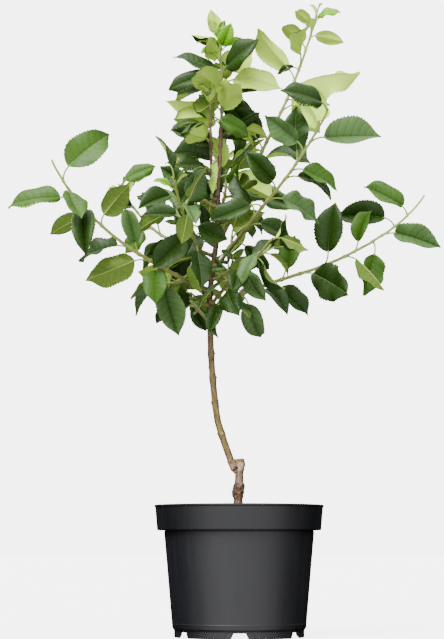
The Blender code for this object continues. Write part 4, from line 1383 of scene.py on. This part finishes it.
def turned_over(leaf):
    """The same blade on the same line, with its upper side where its lower side was."""
    return dict(leaf, normal=-leaf["normal"], across=-leaf["across"], bend=-leaf["bend"])


def adjusted(leaf, turn, scale, roll):
    """A leaf turned about its base as seen from the front, rolled about its length and made larger."""
    swivel = Matrix.Rotation(-math.radians(turn), 3, "Y")
    swivel = swivel @ Matrix.Rotation(math.radians(roll), 3, leaf["axis"])
    turned = {key: swivel @ leaf[key] for key in ("axis", "normal", "across")}
    return dict(leaf, length=leaf["length"] * scale, **turned)


def leaf_class(leaf, young, rng):
    """The tone of a leaf's two sides: bright at young tips, and paler below high and far out, with a darker
    olive underside as painted shade lower down and nearer the middle.
    """
    if young > YOUNG_SHOOT and leaf["share"] > YOUNG_SHARE:
        return TONES["young"]
    draw = rng.random()
    # The grey upper side is partly a painted sheen of reflected light
    upper = "upper_dark" if draw < DARK_BELOW else "upper_mid" if draw < GREY_ABOVE else "upper_grey_sheen"
    height = (leaf["base"].z - CROWN_FOOT) / (CROWN_TOP - CROWN_FOOT)
    outward = PALE_OUTWARD * abs(leaf["base"].x) / CROWN_HALF_WIDTH
    # Undersides that are not pale get the darker olive of painted shade, more often low and near the middle
    pale = rng.random() < between(PALE_BELOW, height + outward)
    return upper, "under_pale" if pale else "under_shaded_olive"


def build_leaves(name, groups, surfaces):
    """All the blades of a shoot and its spurs, in one piece."""
    rng = random.Random(len(name) * NAME_SEED + len(groups))
    points, faces, slots = [], [], []
    for shoot, leaves in groups:
        planned = shoot is groups[0][0]
        for number, leaf in enumerate(leaves):
            if planned and number in TURNED.get(name, ()):
                leaf = turned_over(leaf)
            upper, lower = leaf.get("tones") or leaf_class(leaf, shoot["young"], rng)
            for tone, shoots in RETONED.items():
                if planned and number in shoots.get(name, ()):
                    upper = tone
            if planned and number in ADJUSTED.get(name, ()):
                leaf = adjusted(leaf, *ADJUSTED[name][number])
            first = len(points) * BLADE_POINTS
            points.append(blade_points(leaf, rng))
            faces += [tuple(first + corner for corner in face) for face in BLADE_FACES]
            slots += blade_slots(upper, lower)
    piece = add_mesh("blades_" + name, np.concatenate(points).tolist(), faces, surfaces, slots, BLADE_SHARP)
    dress(piece, "leaf_green", "leaves_" + name)


# Shoots

def shoot_radius(share, length, radius, nodes):
    """A shoot's taper, with a collar at its foot and a swelling at each node."""
    plain = radius + (TWIG_TIP_RADIUS - radius) * share + SHOOT_FULL
    swell = sum(math.exp(-((share - place) * length / NODE_SPREAD) ** 2) for place in nodes)
    collar = math.exp(-(share * length / COLLAR_SPREAD) ** 2)
    return plain * (1 + NODE_SWELL * min(swell, 1.0) + COLLAR_FLARE * collar)


def add_stem(shoot, leaves, points, faces):
    """A tapered stem with rings closer than its nodes, from inside its parent to its tip."""
    route, radius = shoot["route"], shoot["radius"]
    length = sum((after - before).length for before, after in zip(route, route[1:]))
    nodes = [leaf["share"] for leaf in leaves]
    count = max(LEAST_RINGS, round(length / RING_GAP))
    stem = [route[0] - (route[1] - route[0]).normalized() * SHOOT_INSIDE * radius]
    radii = [shoot_radius(0.0, length, radius, nodes)]
    for ring in range(count + 1):
        share = ring / count
        place = on_route(route, share)[0]
        wobble = noise.noise_vector(place * WOBBLE_SCALE) * WOBBLE
        stem.append(place + wobble * min(1.0, WOBBLE_START * share))
        radii.append(shoot_radius(share, length, radius, nodes))
    radii[-1] *= SHOOT_END
    sweep(stem, radii, SHOOT_SIDES, points, faces)


def petiole_route(leaf):
    """A stalk's centre line, from inside the stem, out of its node and along under the blade."""
    start, end = leaf["root"], leaf["base"] + leaf["axis"] * (PETIOLE_UNDER * leaf["length"])
    span = (leaf["base"] - start).length
    leave = (leaf["tangent"] * PETIOLE_LEAVE[0] + leaf["petiole"] * PETIOLE_LEAVE[1]).normalized()
    first = start + leave * span * PETIOLE_ARMS[0]
    second = leaf["base"] - leaf["axis"] * span * PETIOLE_ARMS[1]
    route = []
    for ring in range(PETIOLE_RINGS):
        t = ring / (PETIOLE_RINGS - 1)
        route.append(start * (1 - t) ** 3 + first * 3 * t * (1 - t) ** 2
                     + second * 3 * t ** 2 * (1 - t) + end * t ** 3)
    return route


def add_stalk(leaf, points, faces):
    """A leaf's petiole, thicker where it joins the stem."""
    least, rest = PETIOLE_THIN
    thin = PETIOLE_NECK * (least + rest * min(1.0, leaf["length"] / PETIOLE_LONG_LEAF))
    flare = PETIOLE_FLARE - PETIOLE_NECK
    radii = [thin + flare * math.exp(-PETIOLE_FADE * ring / (PETIOLE_RINGS - 1))
             for ring in range(PETIOLE_RINGS)]
    sweep(petiole_route(leaf), radii, PETIOLE_SIDES, points, faces)


def add_bud(leaf, points, faces):
    """A pointed bud in the angle between a petiole and its stem."""
    foot = leaf["root"] + leaf["petiole"] * leaf["radius"] * BUD_OUT + leaf["tangent"] * BUD_AHEAD
    grow = (leaf["tangent"] + leaf["petiole"] * BUD_LEAN).normalized()
    steps = len(BUD_SHAPE) - 1
    bud = [foot + grow * (BUD_LENGTH * step / steps - BUD_SUNK) for step in range(steps + 1)]
    sweep(bud, [BUD_RADIUS * size for size in BUD_SHAPE], PETIOLE_SIDES, points, faces)


def build_shoot(name, groups, surfaces):
    """A shoot's stem and spurs, with a stalk and a bud for each leaf, in one piece."""
    points, faces, slots = [], [], []
    for shoot, leaves in groups:
        add_stem(shoot, leaves, points, faces)
        slots += [twig_tone(points[face[0]], name in LEADERS) for face in faces[len(slots):]]
        for leaf in leaves:
            for slot, add in enumerate((add_stalk, add_bud), TONE_STEPS):
                add(leaf, points, faces)
                slots += [slot] * (len(faces) - len(slots))
    piece = add_mesh("shoot_" + name, points, faces, surfaces, slots)
    dress(piece, "bark", "leaves_" + name, *(["bough_" + name] if groups[0][0]["bare"] else []))


# The trunk

def bark_relief(place):
    """How far the bark stands out at a place: flaky plates on the burr, fine ridges on the stem."""
    burr = math.exp(-((place.z - BURR_MIDDLE) / BURR_SPREAD) ** 2)
    head = math.exp(-((place.z - HEAD_HEIGHT) / HEAD_SPREAD) ** 2)
    plates = 1 - PLATE_EDGE * abs(noise.noise(place * PLATE_SCALE))
    ridges = noise.fractal(place * RIDGE_SCALE, *LAYERS, 3)
    knobs = noise.fractal(place * KNOB_SCALE, *LAYERS, 4)
    fine = noise.fractal(place * FINE_SCALE, *LAYERS, 3)
    old = 1.0 if place.z < SMOOTH_ABOVE else SMOOTHNESS
    return (BURR_RELIEF * burr * plates + HEAD_RELIEF * (head + burr) * knobs
            + old * (STEM_RELIEF * ridges + FINE_RELIEF * fine))


def lump(place, size, points, faces):
    """A small rounded swelling, to be merged into the trunk."""
    steps = range(LUMP_STEPS + 1)
    rings = [place + Vector((0, 0, size * LUMP_LONG * (2 * step / LUMP_STEPS - 1))) for step in steps]
    radii = [size * max(LUMP_END, math.sin(math.pi * step / LUMP_STEPS)) for step in steps]
    sweep(rings, radii, LUMP_SIDES, points, faces)


def trunk_solids():
    """The rootstock, the stem, the callus, the bud scars and the knots, each as a closed tube."""
    points, faces = [], []
    root = smooth_route([Vector((x, 0.0, z)) for x, z, radius in ROOTSTOCK], ROOT_PIECES)
    radii = [between([row[2] for row in ROOTSTOCK], index / (len(root) - 1)) + ROOT_FULL
             for index in range(len(root))]
    sweep(root, radii, ROOT_SIDES, points, faces)
    sweep(STEM_LINE, [stem_radius(place.z) + STEM_FULL for place in STEM_LINE], STEM_SIDES, points, faces)
    callus = smooth_route([Vector(place) for place in CALLUS], CALLUS_PIECES)
    start, spread = CALLUS_ENDS
    radii = [CALLUS_RADIUS * math.sin(math.pi * (start + spread * step / (len(callus) - 1)))
             for step in range(len(callus))]
    sweep(callus, radii, CALLUS_SIDES, points, faces)
    for height, heading in BUD_SCARS:
        side = direction(heading, 0.0) * (stem_radius(height) + STEM_FULL - BUD_DEPTH)
        lump(stem_centre(height) + side, BUD_SCAR, points, faces)
    for height, heading in KNOTS:
        share = (height - ROOTSTOCK[0][1]) / (ROOTSTOCK[-1][1] - ROOTSTOCK[0][1])
        lump(on_route(root, share)[0] + direction(heading, 0.0) * KNOT_OUT, KNOT, points, faces)
    return points, faces


def build_trunk(surfaces):
    """Rootstock, graft and grafted stem, merged into one skin and roughened."""
    thing = add_mesh("trunk_bark", *trunk_solids(), surfaces)
    skin = thing.modifiers.new("Skin", "REMESH")
    skin.mode = "VOXEL"
    skin.voxel_size = TRUNK_VOXEL
    soft = thing.modifiers.new("Soft", "SMOOTH")
    soft.factor, soft.iterations = TRUNK_SOFTENING
    mesh = apply_modifiers(thing)
    normals = [vert.normal.copy() for vert in mesh.vertices]
    for vert, normal in zip(mesh.vertices, normals):
        vert.co += normal * bark_relief(vert.co)
    rings = [(ring, stem_centre(ring).x) for ring in RING_LINES]
    for face in mesh.polygons:
        face.material_index = bark_slot(face.center, face.normal, rings)
    mesh.shade_smooth()
    dress(thing, "bark", "trunk")


def bark_slot(place, normal, rings):
    """The slot of a face: bark, cut wood or a ring of bud scars."""
    if place.z > CUT_HEIGHT and normal.z > CUT_FACING and abs(place.x) < CUT_REACH:
        return 1
    if any(abs(place.z - ring + RING_SLANT * (place.x - middle)) < SCAR_LINE for ring, middle in rings):
        return 2
    return 0


# The pot and its filling

def rounded(profile, radius):
    """A profile whose inner corners are cut round, within a share of the shorter side beside each."""
    made = [profile[0]]
    for row in zip(profile, profile[1:], profile[2:]):
        back, corner, ahead = (Vector(point) for point in row)
        sides = [end - corner for end in (back, ahead)]
        cut = min(radius, *(side.length * CORNER_SHARE for side in sides))
        start, end = (corner + side.normalized() * cut for side in sides)
        for piece in range(CORNER_PIECES + 1):
            t = piece / CORNER_PIECES
            made.append(tuple(start * (1 - t) ** 2 + corner * 2 * t * (1 - t) + end * t ** 2))
    return made + [profile[-1]]


def body_at(height, out=0.0):
    """The profile's point on the tapered body at a height, or a little out from it."""
    share = (height - BODY_FOOT) / (COLLAR_FOOT - BODY_FOOT)
    return BODY_FOOT_RADIUS + (BODY_TOP_RADIUS - BODY_FOOT_RADIUS) * share + out, height


def build_pot(surface):
    """The pot's fine shell: rounded lip and corners, a bead above the foot and sunk notch frames."""
    profile = rounded([
        (0.0, FLOOR_UNDERSIDE + WALL),
        (BODY_FOOT_RADIUS - WALL, FLOOR_UNDERSIDE + WALL),
        (BODY_TOP_RADIUS - WALL, COLLAR_FOOT + WALL),
        (COLLAR_FOOT_RADIUS - WALL, COLLAR_FOOT + WALL),
        (COLLAR_TOP_RADIUS - WALL, POT_HEIGHT),
        (RIM_RADIUS, POT_HEIGHT),
        (RIM_RADIUS, POT_HEIGHT - LIP_HEIGHT),
        (COLLAR_TOP_RADIUS, POT_HEIGHT - LIP_HEIGHT - LIP_UNDERCUT),
        (COLLAR_FOOT_RADIUS, COLLAR_FOOT),
        body_at(COLLAR_FOOT, -GROOVE_DEPTH),
        body_at(COLLAR_FOOT - GROOVE_HEIGHT, -GROOVE_DEPTH),
        body_at(COLLAR_FOOT - 2 * GROOVE_HEIGHT),
        body_at(BEAD_HEIGHT + 2 * BEAD),
        body_at(BEAD_HEIGHT, BEAD),
        body_at(BEAD_HEIGHT - 2 * BEAD),
        (BODY_FOOT_RADIUS, BODY_FOOT),
        (FOOT_RADIUS, BODY_FOOT - FOOT_STEP),
        (FOOT_RADIUS, 0.0),
        (FOOT_RADIUS - FOOT_WIDTH, 0.0),
        (FOOT_RADIUS - FOOT_WIDTH, FLOOR_UNDERSIDE),
        (0.0, FLOOR_UNDERSIDE),
    ], POT_CORNER)
    edges = [(index, index + 1) for index in range(len(profile) - 1)]
    pot = plain_mesh("pot_shell", [(x, 0.0, z) for x, z in profile], edges, [])
    turn = pot.modifiers.new("Turn", "SCREW")
    turn.steps = POT_SPOKES
    turn.render_steps = POT_SPOKES
    turn.use_merge_vertices = True
    turn.merge_threshold = WELD
    cutters = [make(number) for number in range(FEET) for make in (frame_cutter, notch_cutter)]
    for cutter in cutters:
        cut = pot.modifiers.new(cutter.name, "BOOLEAN")
        cut.operation = "DIFFERENCE"
        cut.object = cutter
    mesh = apply_modifiers(pot)
    for cutter in cutters:
        bpy.data.objects.remove(cutter)
    mesh.materials.append(surface)
    mesh.shade_smooth()
    mesh.set_sharp_from_angle(angle=math.radians(POT_SHARP))
    dress(pot, "black_plastic", "pot")


def frame_cutter(number):
    """A shallow arch with rounded shoulders, sunk into the foot ring's outside round a notch."""
    points, faces = [], []
    middle = math.tau * number / FEET - math.pi / 2
    spread = FRAME_WIDTH / 2 / FOOT_RADIUS
    for column in range(FRAME_COLUMNS + 1):
        side = 2 * column / FRAME_COLUMNS - 1
        inside = max(0.0, FRAME_ROUND - (1 - abs(side)) * FRAME_WIDTH / 2)
        top = FRAME_HEIGHT - FRAME_ROUND + math.sqrt(FRAME_ROUND ** 2 - inside ** 2)
        turn = middle + spread * side
        for reach in (FOOT_RADIUS - FRAME_DEPTH, FOOT_RADIUS + FRAME_DEPTH):
            for height in (-FRAME_DEPTH, top):
                points.append((reach * math.cos(turn), reach * math.sin(turn), height))
    for near in range(0, 4 * FRAME_COLUMNS, 4):
        for low, high in ((0, 1), (1, 3), (3, 2), (2, 0)):
            faces.append((near + low, near + high, near + high + 4, near + low + 4))
    faces += [(0, 2, 3, 1), tuple(4 * FRAME_COLUMNS + corner for corner in (1, 3, 2, 0))]
    return plain_mesh("frame_%d" % number, points, [], faces)


def notch_cutter(number):
    """A wedge that is wider at the ground, across the foot ring at one of its six places."""
    mesh = bpy.data.meshes.new("notch_%d" % number)
    bm = bmesh.new()
    bmesh.ops.create_cube(bm, size=1.0)
    for vert in bm.verts:
        top = vert.co.z > 0
        spread = NOTCH_WIDTH + (NOTCH_WIDTH - NOTCH_TOP_WIDTH) * NOTCH_REACH
        vert.co.x *= NOTCH_TOP_WIDTH if top else spread
        vert.co.y *= NOTCH_DEPTH
        vert.co.z = NOTCH_HEIGHT if top else -NOTCH_HEIGHT * NOTCH_REACH
    bm.to_mesh(mesh)
    bm.free()
    cutter = new_object(mesh.name, mesh)
    turn = Matrix.Rotation(math.radians(360 / FEET * number), 4, "Z")
    cutter.matrix_world = turn @ Matrix.Translation((0, -(FOOT_RADIUS - FOOT_WIDTH / 2), 0))
    return cutter


def circle(radius, height):
    """The soil's points at a radius round the pot's axis."""
    turns = [math.tau * spoke / SOIL_SPOKES for spoke in range(SOIL_SPOKES)]
    return [Vector((radius * math.cos(turn), radius * math.sin(turn), height)) for turn in turns]


def soil_height(share):
    """The height of the soil's plain surface at a share of its radius."""
    return SOIL_LEVEL - SOIL_BELOW - SOIL_EDGE_FALL * max(0.0, (share - SOIL_FLAT) / (1 - SOIL_FLAT))


def build_soil(surface):
    """Loose peat: a crumbly top inside the pot and a plain body below it, with crumbs on top."""
    ledge = COLLAR_FOOT + WALL + CLEAR
    slope = (COLLAR_TOP_RADIUS - COLLAR_FOOT_RADIUS) / (POT_HEIGHT - COLLAR_FOOT)
    wall = COLLAR_FOOT_RADIUS - WALL - 2 * CLEAR
    rim = wall + slope * (SOIL_LEVEL - SOIL_EDGE_FALL - ledge)
    points = [Vector((0, 0, SOIL_LEVEL - SOIL_MIDDLE))]
    for ring in range(1, SOIL_RINGS + 1):
        share = ring / SOIL_RINGS
        for place in circle(rim * share, 0.0):
            lumps = noise.fractal(place * SOIL_LUMP_SCALE, *LAYERS, SOIL_LUMP_DETAIL)
            lumps *= SOIL_LUMPS * (1 - share ** SOIL_RIM_FADE)
            place.z = soil_height(share) + SOIL_BELOW * share + lumps
            points.append(place)
    faces = [(0, 1 + spoke, 1 + (spoke + 1) % SOIL_SPOKES) for spoke in range(SOIL_SPOKES)]
    points += circle(wall, ledge) + circle(BODY_TOP_RADIUS - WALL - 2 * CLEAR, ledge)
    points += circle(BODY_FOOT_RADIUS - WALL - 2 * CLEAR, FLOOR_UNDERSIDE + WALL + CLEAR)
    for face in tube_faces(1, len(points) // SOIL_SPOKES, SOIL_SPOKES):
        faces.append(face[:1] + face[:0:-1])
    faces.append(tuple(reversed(range(len(points) - SOIL_SPOKES, len(points)))))
    rng = random.Random(CRUMB_SEED)
    for crumb in range(CRUMBS):
        reach, turn = rim * math.sqrt(rng.random()) * CRUMB_REACH, rng.uniform(0, math.tau)
        size = rng.uniform(*CRUMB_SIZE)
        centre = Vector((reach * math.cos(turn), reach * math.sin(turn), soil_height(reach / rim)))
        add_crumb(centre, size, rng, points, faces)
    dress(add_mesh("soil_filling", points, faces, [surface]), "potting_soil", "soil")


def add_crumb(centre, size, rng, points, faces):
    """A small angular clod: a stretched octahedron with uneven corners."""
    first = len(points)
    turn = Matrix.Rotation(rng.uniform(0, math.tau), 3, "Z")
    stretch = Vector([rng.uniform(*limits) for limits in CRUMB_STRETCH])
    for corner in ((1, 0, 0), (0, 1, 0), (-1, 0, 0), (0, -1, 0), (0, 0, 1), (0, 0, -1)):
        arm = Vector(corner) * size * rng.uniform(*CRUMB_CORNER)
        points.append(centre + turn @ (arm * stretch))
    for here in range(4):
        after = (here + 1) % 4
        faces.append((first + here, first + after, first + 4))
        faces.append((first + after, first + here, first + 5))


# Camera, floor and light

def build_studio():
    """The camera in front of the plant, a wide floor, the world's light and a soft light above."""
    camera = bpy.data.cameras.new("camera")
    camera.sensor_width = SENSOR
    camera.lens = LENS
    eye = new_object("camera", camera)
    eye.location = EYE
    eye.rotation_euler = (Vector(AIM) - Vector(EYE)).to_track_quat("-Z", "Y").to_euler()
    bpy.context.scene.camera = eye
    corners = [(FLOOR_HALF * x, FLOOR_HALF * y, 0) for x, y in ((-1, -1), (1, -1), (1, 1), (-1, 1))]
    floor = add_mesh("floor", corners, [(0, 1, 2, 3)], [floor_surface()])
    floor.visible_glossy = False
    build_world()
    lamp = bpy.data.lights.new("top_light", "SUN")
    lamp.energy = SUN_STRENGTH
    lamp.angle = math.radians(SUN_SOFTNESS)
    towards = direction(SUN_HEADING, SUN_RISE)
    new_object("top_light", lamp).rotation_euler = towards.to_track_quat("Z", "Y").to_euler()


def build_world():
    """White behind the plant, even light for its surfaces, and soft boxes in front and above."""
    world = bpy.data.worlds.new("studio")
    bpy.context.scene.world = world
    world.use_nodes = True
    tree = world.node_tree
    towards = node(tree, "SeparateXYZ", node(tree, "TexCoord").outputs["Generated"]).outputs
    front = worked_out(tree, "MULTIPLY", towards["Y"], -1.0)
    turned = worked_out(tree, "MAXIMUM", front, towards["Z"])
    even, reflected, backdrop = tree.nodes["Background"], node(tree, "Background"), node(tree, "Background")
    strengths = [ramp(tree, turned, *light, way="SMOOTHSTEP") for light in (EVEN_LIGHT, SOFT_BOX)]
    for light, strength in zip((even, reflected, backdrop), (*strengths, BACKDROP)):
        feed(tree, light.inputs["Color"], WHITE)
        feed(tree, light.inputs["Strength"], strength)
    path = node(tree, "LightPath").outputs
    glossy = node(tree, "MixShader", path["Is Glossy Ray"], even.outputs[0], reflected.outputs[0])
    seen = node(tree, "MixShader", path["Is Camera Ray"], glossy.outputs[0], backdrop.outputs[0])
    feed(tree, tree.nodes["World Output"].inputs["Surface"], seen.outputs[0])


def main():
    """The studio, the pot, the soil and the trunk, then the blades and the stem of every shoot."""
    build_studio()
    build_pot(plastic_surface())
    build_soil(soil_surface())
    build_trunk([trunk_surface(), wood_surface(), stalk_surface("bud_ring", RING_BROWN, RING_TINT)])
    plan = shoot_plan()
    grown, taken = plan_leaves(plan)
    top_leaves(plan, grown, taken)
    spurs = fine_spurs(plan, taken)
    noise.seed_set(WOBBLE_SEED)
    blades = leaf_surfaces()
    side_bark = twig_surfaces("side_bark", SIDE_TONES)
    leader_bark = twig_surfaces("leader_bark", LEADER_TONES)
    stalks = [stalk_surface("petiole", PETIOLE_GREEN, PETIOLE_TINT),
              stalk_surface("bud", BUD_BROWN, BUD_TINT)]
    for name, shoot in plan.items():
        tips = tip_leaves(shoot["route"], TIPPED.get(name, 0), random.Random(len(name)))
        groups = [(shoot, grown[name] + tips)] + spurs[name]
        build_leaves(name, groups, blades)
        build_shoot(name, groups, (leader_bark if name in LEADERS else side_bark) + stalks)


main()
